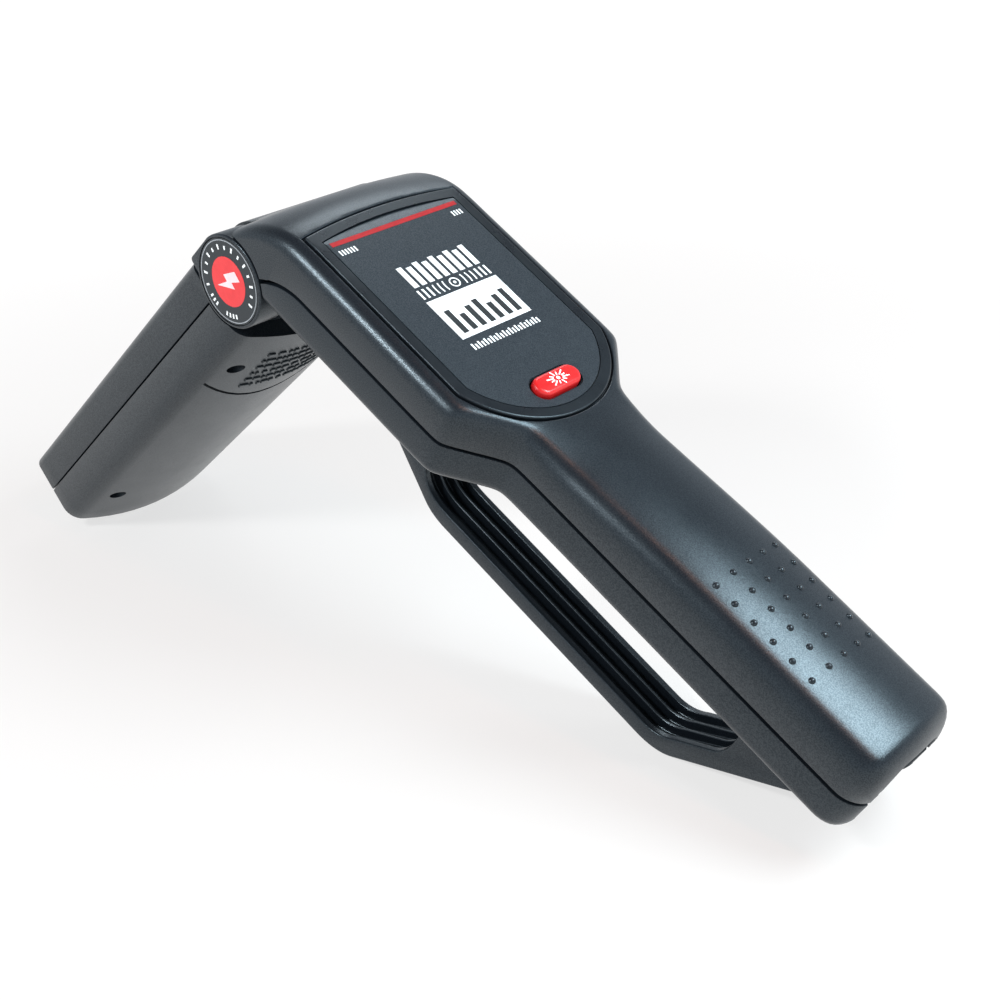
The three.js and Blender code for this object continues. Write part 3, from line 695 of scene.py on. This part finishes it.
def dial(marks):
    """Two short arcs and some ticks on each side of a ring with a dot."""
    x, pitch = 49.5, 1.9
    for side in (-1, 1):
        for i in range(2, 5):
            centre = (x, side * (i * pitch - 7))
            marks.band(centre, 6.75, 7.2, 90 * side - 15, 90 * side + 15, 8)
        for i in range(5, 8):
            marks.bar(x - 1.8, x + 1.8, side * i * pitch - 0.35, side * i * pitch + 0.35)
    marks.band((x, 0), 1.4, 1.8, 0, 359.5, 32)
    marks.band((x, 0), 0.01, 0.5, 0, 359.5, 16)


def white_marks(white):
    """The row of blocks, the dial, the white field, the scale and the small marks by the red line."""
    marks = Print(PRINT_LOW, PRINT_HIGH)
    bar_row(marks, count=9, pitch=3.05, x0=38.3, x1=46.6, half=0.95, stagger=0.9)
    dial(marks)
    marks.bar(52.4, 67.9, -14, 14)
    bar_row(marks, count=22, pitch=1.24, x0=70.2, x1=72.5, half=0.3, stagger=0.5)
    small_pitch, small_width = 1.1, 0.5
    for low, count in ((-24.2, 6), (20.1, 4)):
        for i in range(count):
            y = low + small_pitch * i
            marks.bar(26.0, 27.9, y, y + small_width)
    marks.done("label_white_marks", HANDLE, "handle", white, "film")


def dark_marks(black):
    """Columns of three heights on the white field."""
    dark = Print(PRINT_HIGH - 0.02, PRINT_HIGH + 0.04)
    tops, foot, pitch, half = (57.2, 60.0, 58.2), 66.3, 3.6, 1.0
    for i in range(7):
        y = (i - 3) * pitch
        dark.bar(tops[i % 3], foot, y - half, y + half)
    dark.done("label_dark_marks", HANDLE, "handle", black, "film")


def button_star(white):
    """Short rays round a dot, stretched along the button."""
    rays, inner, reach, half_width = 12, 1.0, (2.6, 2.0), 0.2
    stretch, dot_r = 1.6, 0.62
    star = Print(BUTTON_TOP_Z - 0.04, BUTTON_TOP_Z + 0.035)
    for i in range(rays):
        angle = 2 * math.pi * (i + 0.5) / rays
        ahead = Vector((math.cos(angle), stretch * math.sin(angle)))
        aside = Vector((-ahead.y, ahead.x)).normalized() * half_width
        start, stop = ahead * inner, ahead * reach[i % 2]
        outline = (start - aside, stop - aside, stop + aside, start + aside)
        star.patch([(BUTTON_X + u, v) for u, v in outline])
    star.patch([(BUTTON_X + u, v) for u, v in circle(dot_r, 16)])
    star.done("button_star", HANDLE, "button", white, "button")


# ---------- barrel ----------


def barrel_ring(reach, inset=0.0):
    """The barrel's section at a distance from the hinge."""
    return ring(
        -reach,
        half=BARREL_HALF - inset,
        top=BARREL_TOP - inset,
        base=BARREL_BASE + inset,
        drop=3,
        shoulder=max(3.2 - inset, 1),
        corner=max(7.5 - inset, 1),
        belly=BARREL_BELLY,
    )


def barrel_skin(low, high, inset):
    reaches = spread(low, high, 6) + [high]
    return skin([barrel_ring(reach, inset) for reach in reversed(reaches)])


def barrel_envelope():
    """The barrel's outer form with a rounded rim, hollow and open at the lens end."""
    edge = 0.8
    rings = [barrel_ring(reach) for reach in spread(4, BARREL_LENGTH - edge, 6)]
    for i in range(5):
        angle = math.radians(22.5 * i)
        rings.append(barrel_ring(BARREL_LENGTH - edge + edge * math.sin(angle), edge * (1 - math.cos(angle))))
    cavity = barrel_skin(CAVITY_START, LENS_FRONT + GAP, WALL)
    mouth = barrel_skin(100, BARREL_LENGTH + 5, 4.6)
    lead_hole = bar("x", 4, -30, 0, (0, -2), 24)
    return cut(skin(rings), cavity, mouth, lead_hole)


def hub_clearance():
    return bar("y", HUB_R + 0.9, -EAR_IN, EAR_IN, (0, 0), 96)


def barrel_half(upper):
    """Everything above or below the barrel's parting line."""
    if upper:
        return block(-200, 30, -FAR, FAR, BARREL_SEAM + BARREL_SEAM_HALF, FAR)
    return block(-200, 30, -FAR, FAR, -FAR, BARREL_SEAM - BARREL_SEAM_HALF)


def ear_outline(inset):
    """Side view of an ear: round, with a flat back and a small corner above it."""
    radius = EAR_R - inset
    pad, top, corner = -EAR_PAD + inset, EAR_R - 0.1 - inset, 1.2
    low = math.degrees(math.acos(pad / radius))
    high = math.degrees(math.asin(top / radius))
    count = 90
    outline = []
    for i in range(count):
        angle = math.radians(high + (low - 360 - high) * i / (count - 1))
        outline.append((radius * math.cos(angle), radius * math.sin(angle)))
    for i in range(7):
        angle = math.radians(180 - 15 * i)
        outline.append((pad + corner + corner * math.cos(angle), top - corner + corner * math.sin(angle)))
    return outline


def ear(side):
    """One ear with a rounded outer edge and the block that ties it to the barrel's wall."""
    inner = EAR_IN - 1
    edge = 0.6
    rings = [[(x, side * inner, z) for x, z in ear_outline(0)]]
    for i in range(5):
        angle = math.radians(22.5 * i)
        level = side * (EAR_OUT - 0.01 - edge + edge * math.sin(angle))
        rings.append([(x, level, z) for x, z in ear_outline(edge * (1 - math.cos(angle)))])
    low, high = facing(side, inner, BARREL_HALF - 0.6)
    return join(skin(rings), block(-22, -4, low, high, BARREL_SEAM + BARREL_SEAM_HALF, 11.5))


def barrel_upper_shell(material):
    """The cover with the hinge's two ears and their label seats."""
    shell = combine(barrel_envelope(), barrel_half(True), "INTERSECT")
    cut(shell, block(-EAR_PAD - 1.5, 40, -FAR, FAR, -FAR, FAR))
    round_edges(shell, 0.3, lambda p: abs(p.y) > BARREL_HALF - 0.2 and p.z < 1.2)
    between = join(block(-BARREL_START, 40, -EAR_IN, EAR_IN, -FAR, FAR), hub_clearance())
    join(shell, ear(-1), ear(1))
    for side in (-1, 1):
        low, high = facing(side, EAR_OUT - LABEL_DEPTH, 50)
        cut(shell, bar("y", LABEL_R + GAP, low, high, (0, 0), 96))
    cut(shell, between)
    for x, y in BARREL_SCREWS:
        join(shell, bar("z", BOSS_R, 1, 13, (-x, y), 24))
    cut(shell, *pin_bores())
    for x, y in BARREL_SCREWS:
        cut(shell, bar("z", SCREW_CORE_R, -20, 9, (-x, y), 16))
    return finish(shell, "barrel_top_shell", BARREL, "barrel", material, ["barrel_upper_shell"])


def barrel_under(y):
    """Level of the barrel's bowed underside."""
    return BARREL_BASE + BARREL_BELLY * (y / BARREL_HALF) ** 2


def thumb_groove():
    """Cutter for the thin curved groove across the barrel's underside."""
    steps, reach, half_width, depth, foot = 40, 31, 0.7, 1.1, -30
    rings = []
    for i in range(steps + 1):
        y = -reach + 2 * reach * i / steps
        x = -(GROOVE_REACH - GROOVE_BOW * (y / GROOVE_HALF) ** 2)
        x0, x1 = x - half_width, x + half_width
        top = barrel_under(y) + depth
        rings.append([(x0, y, foot), (x1, y, foot), (x1, y, top), (x0, y, top)])
    return skin(rings)


def barrel_lower_shell(material):
    """The half with the screws' wells, cut clear of the hinge."""
    shell = combine(barrel_envelope(), barrel_half(False), "INTERSECT")
    round_edges(shell, 0.3, lambda p: abs(p.y) > BARREL_HALF - 0.2 and p.z > -0.2)
    ear_clearance = bar("y", EAR_R + 0.6, -FAR, FAR, (0, 0), 96)
    cut(shell, hub_clearance(), ear_clearance, block(-12, 40, -FAR, FAR, -FAR, FAR))
    for x, y in BARREL_SCREWS:
        post = combine(bar("z", 4.3, -18, 0, (-x, y), 32), barrel_skin(20, 160, 0), "INTERSECT")
        join(shell, post)
    for x, y in BARREL_SCREWS:
        cut(shell, bar("z", SCREW_CORE_R, -30, 5, (-x, y), 16), bar("z", 2.9, -30, -7, (-x, y), 40))
    cut(shell, thumb_groove())
    return finish(shell, "barrel_under_shell", BARREL, "barrel", material, ["barrel_lower_shell"])


def raised_dash(x, y0, y1, points, faces):
    """Adds one dash with chamfered edges, which follows the barrel's underside."""
    half_width = 0.8
    start = len(points)
    for level, trim in ((0.4, 0), (-0.3, 0), (-0.5, 0.2)):
        x0, x1 = x - half_width + trim, x + half_width - trim
        for u, v in ((x0, y0 + trim), (x1, y0 + trim), (x1, y1 - trim), (x0, y1 - trim)):
            points.append((u, v, barrel_under(v) + level))
    faces.append(tuple(range(start, start + 4)))
    faces.append(tuple(range(start + 8, start + 12)))
    for base in (start, start + 4):
        for i in range(4):
            a, b = base + i, base + (i + 1) % 4
            faces.append((a, b, b + 4, a + 4))


def raised_lines(material):
    """Rows of short raised dashes between the hinge and the curved groove."""
    first, pitch, rows, longest, shortest = 26, 4.6, 6, 18.0, 0.5
    random.seed(5)
    points, faces = [], []
    for row in range(rows):
        x = -(first + pitch * row)
        depth = max(0.0, (GROOVE_REACH + x - 4) / GROOVE_BOW)
        reach = min(GROOVE_HALF * math.sqrt(depth) - 1.5, longest)
        y = -reach
        while y < reach:
            stop = min(y + random.choice((0.9, 1.5, 2.3, 3.1)), reach)
            if stop - y > shortest:
                raised_dash(x, y, stop, points, faces)
            y = stop + random.choice((0.7, 0.9, 1.6))
    lines = solid(points, faces)
    return finish(lines, "barrel_raised_lines", BARREL, "barrel", material)


def disc_marks(marks, turn):
    """Blocks round most of the label and finer ticks round the rest."""
    blocks, first, pitch, block_half = 13, 205, 17.2, 1.9
    for i in range(blocks):
        angle = first - pitch * i - turn
        marks.band((0, 0), 9.7, (11.3, 10.9)[i % 2], angle - block_half, angle + block_half, 4)
    tick_half = 1.8
    for angle in (225, 243, 251, 259, 285, 293, 301, 309):
        marks.band((0, 0), 9.9, 11.3, angle - tick_half - turn, angle + tick_half - turn, 4)


def disc_flash(flash, turn):
    """A plain zigzag across the label's centre."""
    outline = [(-1.1, 5.0), (2.3, 5.0), (0.8, 1.2), (3.0, 1.2), (-1.5, -5.5), (-0.4, -0.5), (-2.7, -0.5)]
    spin = math.radians(-turn - 25)
    across, up = math.cos(spin), math.sin(spin)
    flash.patch([(u * across - v * up, u * up + v * across) for u, v in outline])


def hinge_label(side, name, looks):
    """The round label in an ear: disc, rim line, coloured centre and printed marks."""
    rim_in, rim_out, centre_r = 12.35, 12.65, 7.6

    def spot(u, v, w):
        return (u, side * w, v)

    def done(layer, part, look, slot):
        return layer.done(f"hinge_disc{part}_{name}", BARREL, "barrel", looks[look], slot)

    base = Print(EAR_OUT - LABEL_DEPTH + GAP, EAR_OUT - 0.14, spot)
    base.patch(circle(LABEL_R, 96))
    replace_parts(done(base, "", "plate", "plate"), f"hinge_label_{name}")

    low, high = EAR_OUT - 0.2, EAR_OUT - 0.1
    rim = Print(low, high, spot)
    rim.band((0, 0), rim_in, rim_out, 0, 180, 48)
    rim.band((0, 0), rim_in, rim_out, 180, 360, 48)
    done(rim, "_rim", "silver", "plate")
    centre = Print(low, high, spot)
    centre.patch(circle(centre_r, 72))
    done(centre, "_centre", "disc", "button")

    turn = math.degrees(FOLD)
    marks = Print(low, high, spot)
    disc_marks(marks, turn)
    done(marks, "_marks", "white", "plate")
    flash = Print(high - 0.02, high + 0.04, spot)
    disc_flash(flash, turn)
    done(flash, "_flash", "pink", "plate")


# ---------- lamp ----------


def lens(material):
    """A clear window with a rounded front edge and upright flutes in its back."""
    edge, inset = 0.6, WALL + GAP
    flute_r, flute_pitch, flutes_each_side = 1.2, 2.9, 9
    rings = [barrel_ring(LENS_BACK, inset), barrel_ring(LENS_FRONT - edge, inset)]
    for i in range(1, 5):
        angle = math.radians(22.5 * i)
        reach = LENS_FRONT - edge + edge * math.sin(angle)
        rings.append(barrel_ring(reach, inset + edge * (1 - math.cos(angle))))
    glass = skin(rings)
    for i in range(-flutes_each_side, flutes_each_side + 1):
        cut(glass, bar("z", flute_r, -30, 30, (-(LENS_BACK - 0.5), flute_pitch * i), 16))
    return finish(glass, "front_lens", BARREL, "barrel", material, ["lens"], crease=30)


def reflector(material):
    """A curved trough of thin metal round the flash tube."""
    axis, front, back, steps = -2, -161.3, -150.4, 16
    outline = [(front, axis + 10.6)]
    outline += bend(outline[-1], (back - 2, axis + 8), (back, axis), steps)
    outline += bend(outline[-1], (back - 2, axis - 8), (front, axis - 10.6), steps)
    outline += [(front, axis - 9.6)]
    outline += bend(outline[-1], (back - 3, axis - 7), (back - 1, axis), steps)
    outline += bend(outline[-1], (back - 3, axis + 7), (front, axis + 9.6), steps)
    trough = along_y(outline, -25, 25)
    return finish(trough, "trough_reflector", BARREL, "barrel", material, ["reflector"])


# ---------- materials ----------


def set_stops(color_ramp, stops):
    """Sets a ramp's stops, each a place and a colour or one grey value."""
    while len(color_ramp.elements) < len(stops):
        color_ramp.elements.new(0.5)
    for element, (place, color) in zip(color_ramp.elements, stops):
        element.position = place
        element.color = (*color, 1) if isinstance(color, tuple) else (color, color, color, 1)


class Look:
    """A node material built round one Principled shader."""

    def __init__(self, name, **values):
        self.material = bpy.data.materials.new(name)
        self.material.use_nodes = True
        self.tree = self.material.node_tree
        self.shader = self.tree.nodes["Principled BSDF"]
        for key, value in values.items():
            self.shader.inputs[key.replace("_", " ")].default_value = value
        self.place = self.tree.nodes.new("ShaderNodeTexCoord").outputs["Object"]

    def node(self, kind, **values):
        made = self.tree.nodes.new(kind)
        for key, value in values.items():
            setattr(made, key, value)
        return made

    def link(self, source, target):
        self.tree.links.new(source, target)

    def noise(self, scale, detail=2.0):
        made = self.node("ShaderNodeTexNoise")
        made.inputs["Scale"].default_value = scale
        made.inputs["Detail"].default_value = detail
        self.link(self.place, made.inputs["Vector"])
        return made.outputs["Fac"]

    def ramp(self, source, stops):
        made = self.node("ShaderNodeValToRGB")
        set_stops(made.color_ramp, stops)
        self.link(source, made.inputs["Fac"])
        return made.outputs["Color"]

    def vary(self, socket, scale, detail, stops):
        """Runs a noise through a ramp into one of the shader's sockets."""
        self.link(self.ramp(self.noise(scale, detail), stops), self.shader.inputs[socket])
        return self

    def colour(self, scale, dark, light, low=0.3, high=0.7):
        return self.vary("Base Color", scale, 4.0, [(low, dark), (high, light)])

    def roughness(self, scale, glossy, matt):
        return self.vary("Roughness", scale, 3.0, [(0.3, glossy), (0.7, matt)])

    def speckle(self, scale, weak, strong):
        """Fine grain in the strength of the highlights."""
        return self.vary("Specular IOR Level", scale, 2.0, [(0.38, weak), (0.62, strong)])

    def bump(self, scale, depth):
        """Fine unevenness, with its depth in metres."""
        made = self.node("ShaderNodeBump")
        made.inputs["Strength"].default_value = 1.0
        made.inputs["Distance"].default_value = depth
        self.link(self.noise(scale), made.inputs["Height"])
        self.link(made.outputs["Normal"], self.shader.inputs["Normal"])
        return self


def moulded_looks(keep):
    """The plastics of the shells, the label plate and the button, and the label's film."""
    cool = (0.8, 0.93, 1, 1)
    keep("case", Look("case_plastic", IOR=1.5, Specular_Tint=cool)
         .colour(40, (0.007, 0.0095, 0.013), (0.01, 0.013, 0.017))
         .roughness(90, 0.29, 0.33).speckle(3000, 0.36, 0.68).bump(3200, 0.00003))
    keep("plate", Look("plate_plastic", IOR=1.5, Specular_Tint=cool)
         .colour(60, (0.006, 0.008, 0.011), (0.008, 0.011, 0.014))
         .roughness(120, 0.26, 0.34).bump(1800, 0.00002))
    keep("film", Look("label_film", IOR=1.5, Specular_Tint=cool)
         .colour(1800, (0.014, 0.019, 0.025), (0.022, 0.028, 0.034), 0.4, 0.6)
         .roughness(400, 0.34, 0.4).speckle(3000, 0.35, 0.75).bump(3000, 0.00003))
    keep("button", Look("red_button", IOR=1.49)
         .colour(80, (0.58, 0.012, 0.014), (0.66, 0.018, 0.018))
         .roughness(200, 0.28, 0.36).bump(1500, 0.00001))
    keep("dark", Look("dark_plastic")
         .colour(80, (0.008, 0.008, 0.01), (0.012, 0.012, 0.014))
         .roughness(200, 0.45, 0.6).bump(1500, 0.00003))


def printed_looks(keep):
    """Inks: a name, its darker and lighter colour, and its roughness from glossy to matt."""
    inks = (
        ("red", "red_print", (0.33, 0.006, 0.009), (0.38, 0.009, 0.012), (0.4, 0.5)),
        ("disc", "red_disc", (0.7, 0.03, 0.036), (0.76, 0.036, 0.042), (0.35, 0.45)),
        ("pink", "pale_print", (0.85, 0.6, 0.62), (0.92, 0.68, 0.7), (0.4, 0.5)),
        ("white", "white_print", (0.88, 0.92, 0.92), (0.95, 0.98, 0.98), (0.4, 0.5)),
        ("black", "dark_print", (0.014, 0.018, 0.02), (0.02, 0.024, 0.027), (0.4, 0.5)),
        ("silver", "grey_print", (0.28, 0.3, 0.32), (0.34, 0.36, 0.38), (0.35, 0.45)),
    )
    for key, name, darker, lighter, gloss in inks:
        keep(key, Look(name, IOR=1.45)
             .colour(500, darker, lighter).roughness(300, *gloss).bump(1500, 0.00002))


def inner_looks(keep):
    """Electronics, metal parts and rubber."""
    keep("sleeve", Look("capacitor_sleeve")
         .colour(120, (0.012, 0.02, 0.05), (0.02, 0.03, 0.07))
         .roughness(200, 0.25, 0.35).bump(900, 0.00002))
    keep("board", Look("circuit_board")
         .colour(900, (0.012, 0.09, 0.035), (0.02, 0.14, 0.055), 0.45, 0.55)
         .roughness(300, 0.3, 0.42).bump(1200, 0.00003))
    keep("winding", Look("copper_winding", Metallic=0.8)
         .colour(1500, (0.25, 0.09, 0.03), (0.45, 0.19, 0.07))
         .roughness(500, 0.3, 0.45).bump(1600, 0.00008))
    keep("wire", Look("wire_insulation")
         .colour(300, (0.24, 0.015, 0.015), (0.32, 0.025, 0.02))
         .roughness(300, 0.4, 0.55).bump(900, 0.00003))
    keep("contact", Look("brass_contact", Metallic=1.0)
         .colour(400, (0.55, 0.39, 0.15), (0.68, 0.5, 0.22))
         .roughness(500, 0.2, 0.35).bump(1500, 0.00001))
    keep("steel", Look("plated_steel", Metallic=1.0)
         .colour(400, (0.42, 0.43, 0.45), (0.56, 0.57, 0.59))
         .roughness(500, 0.25, 0.42).bump(1500, 0.00002))
    keep("washer", Look("washer_rubber")
         .colour(300, (0.012, 0.012, 0.012), (0.02, 0.02, 0.02))
         .roughness(300, 0.6, 0.8).bump(1500, 0.00004))
    keep("seal", Look("seal_rubber")
         .colour(300, (0.01, 0.01, 0.01), (0.018, 0.018, 0.018))
         .roughness(300, 0.6, 0.8).bump(1500, 0.00004))


def lamp_looks(keep):
    """The mirror, the lens and the flash tube."""
    keep("mirror", Look("reflector_metal", Metallic=1.0)
         .colour(200, (0.78, 0.79, 0.8), (0.86, 0.87, 0.88))
         .roughness(400, 0.08, 0.16).bump(1200, 0.00001))
    keep("lens", Look("clear_lens", IOR=1.49, Transmission_Weight=1.0)
         .colour(80, (0.93, 0.95, 0.96), (0.98, 0.99, 1.0))
         .roughness(200, 0.02, 0.05).bump(300, 0.00001))
    keep("tube", Look("tube_glass", IOR=1.46, Transmission_Weight=1.0)
         .colour(80, (0.95, 0.96, 0.98), (1.0, 1.0, 1.0))
         .roughness(200, 0.01, 0.03).bump(300, 0.00001))


def make_looks():
    """All materials by key. A key that is also a material slot's name dresses that slot's parts."""
    looks = {}

    def keep(key, look):
        looks[key] = look.material

    moulded_looks(keep)
    printed_looks(keep)
    inner_looks(keep)
    lamp_looks(keep)
    return looks


# ---------- scene ----------


def stage():
    """A pale floor whose own glow grows with distance, so that it runs out into plain white."""
    floor = Look("pale_floor", IOR=1.45, Specular_IOR_Level=0.1, Emission_Color=(1, 1, 1, 1))
    floor.colour(3, (0.26, 0.242, 0.23), (0.27, 0.251, 0.239)).roughness(20, 0.7, 0.85)
    distance = floor.node("ShaderNodeVectorMath", operation="LENGTH")
    floor.link(floor.place, distance.inputs[0])
    glow = floor.ramp(distance.outputs["Value"], [(0.2, 0.67), (0.8, 1.0)])
    floor.link(glow, floor.shader.inputs["Emission Strength"])
    reach, sink = 6, 0.0002
    corners = [(-reach, -reach, 0), (reach, -reach, 0), (reach, reach, 0), (-reach, reach, 0)]
    ground = bpy.data.meshes.new("floor")
    ground.from_pydata(corners, [], [(0, 1, 2, 3)])
    plane = bpy.data.objects.new("floor", ground)
    plane.data.materials.append(floor.material)
    plane.location.z = -sink
    bpy.context.scene.collection.objects.link(plane)


def area_light(name, place, target, size, power, color):
    data = bpy.data.lights.new(name, "AREA")
    data.shape = "RECTANGLE"
    data.size, data.size_y = size
    data.energy = power
    data.color = color
    lamp = bpy.data.objects.new(name, data)
    lamp.location = place
    lamp.rotation_euler = (Vector(target) - Vector(place)).to_track_quat("-Z", "Y").to_euler()
    bpy.context.scene.collection.objects.link(lamp)


def camera():
    """Stands in front of the grip's end, to its left, and looks down on the tool."""
    place = Vector((0.31546, -0.28424, 0.25912))
    right = Vector((0.73309, 0.67735, -0.06152)).normalized()
    up = Vector((-0.26647, 0.36926, 0.8903)).normalized()
    back = right.cross(up)
    data = bpy.data.cameras.new("camera")
    data.lens = 54.33
    data.sensor_width = 36
    data.clip_start = 0.01
    data.clip_end = 30
    view = bpy.data.objects.new("camera", data)
    turn = Matrix((right, up, back)).transposed().to_4x4()
    view.matrix_world = Matrix.Translation(place) @ turn
    bpy.context.scene.collection.objects.link(view)
    bpy.context.scene.camera = view


def room():
    """A plain room: pale walls below, and a dim ceiling above."""
    world = bpy.data.worlds.new("studio")
    world.use_nodes = True
    tree = world.node_tree
    place = tree.nodes.new("ShaderNodeTexCoord")
    split = tree.nodes.new("ShaderNodeSeparateXYZ")
    ramp = tree.nodes.new("ShaderNodeValToRGB")
    tree.links.new(place.outputs["Generated"], split.inputs["Vector"])
    tree.links.new(split.outputs["Z"], ramp.inputs["Fac"])
    tree.links.new(ramp.outputs["Color"], tree.nodes["Background"].inputs["Color"])
    set_stops(ramp.color_ramp, (
        (0.0, (0.8, 0.84, 0.88)),
        (0.35, (0.7, 0.76, 0.82)),
        (0.62, (0.32, 0.34, 0.36)),
        (0.85, (0.11, 0.085, 0.075)),
    ))
    bpy.context.scene.world = world


def lighting():
    """A window over the grip, a lamp behind the tool, a small one in front and a warm strip above."""
    cool, clean, front, warm = (0.76, 0.92, 1.0), (0.88, 0.95, 1.0), (0.9, 0.96, 1.0), (1.0, 0.42, 0.25)
    area_light("window", (0.349, 0.125, 0.377), (0.165, 0, 0.045), (0.21, 0.19), 2.7, cool)
    area_light("back_lamp", (-0.5, 0.775, 0.975), (0, 0, 0.13), (0.5, 0.3), 2.6, clean)
    area_light("front_lamp", (-0.06, -0.42, 0.45), (0.02, -0.03, 0.12), (0.12, 0.07), 2.0, front)
    area_light("warm_lamp", (0.381, -0.045, 0.609), (0.165, -0.015, 0.045), (0.05, 0.35), 0.6, warm)
    bpy.context.scene.view_settings.view_transform = "Standard"


camera()
looks = make_looks()
handle_rear_shell(looks["case"])
handle_front_shell(looks["case"])
grip_studs(looks["case"])
hand_guard(looks["case"])
panel_plate(looks["plate"])
panel_film(looks["film"])
flash_button(looks["button"])
red_line(looks["red"])
white_marks(looks["white"])
dark_marks(looks["black"])
button_star(looks["white"])
barrel_upper_shell(looks["case"])
barrel_lower_shell(looks["case"])
raised_lines(looks["case"])
for side, name in ((-1, "left"), (1, "right")):
    hinge_label(side, name, looks)
lens(looks["lens"])
reflector(looks["mirror"])

for part in frame["record"]["subparts"]:
    for slot in frame["nodes"][part["node"]].material_slots:
        slot.material = looks[part["material_slot"]]

stage()
room()
lighting()
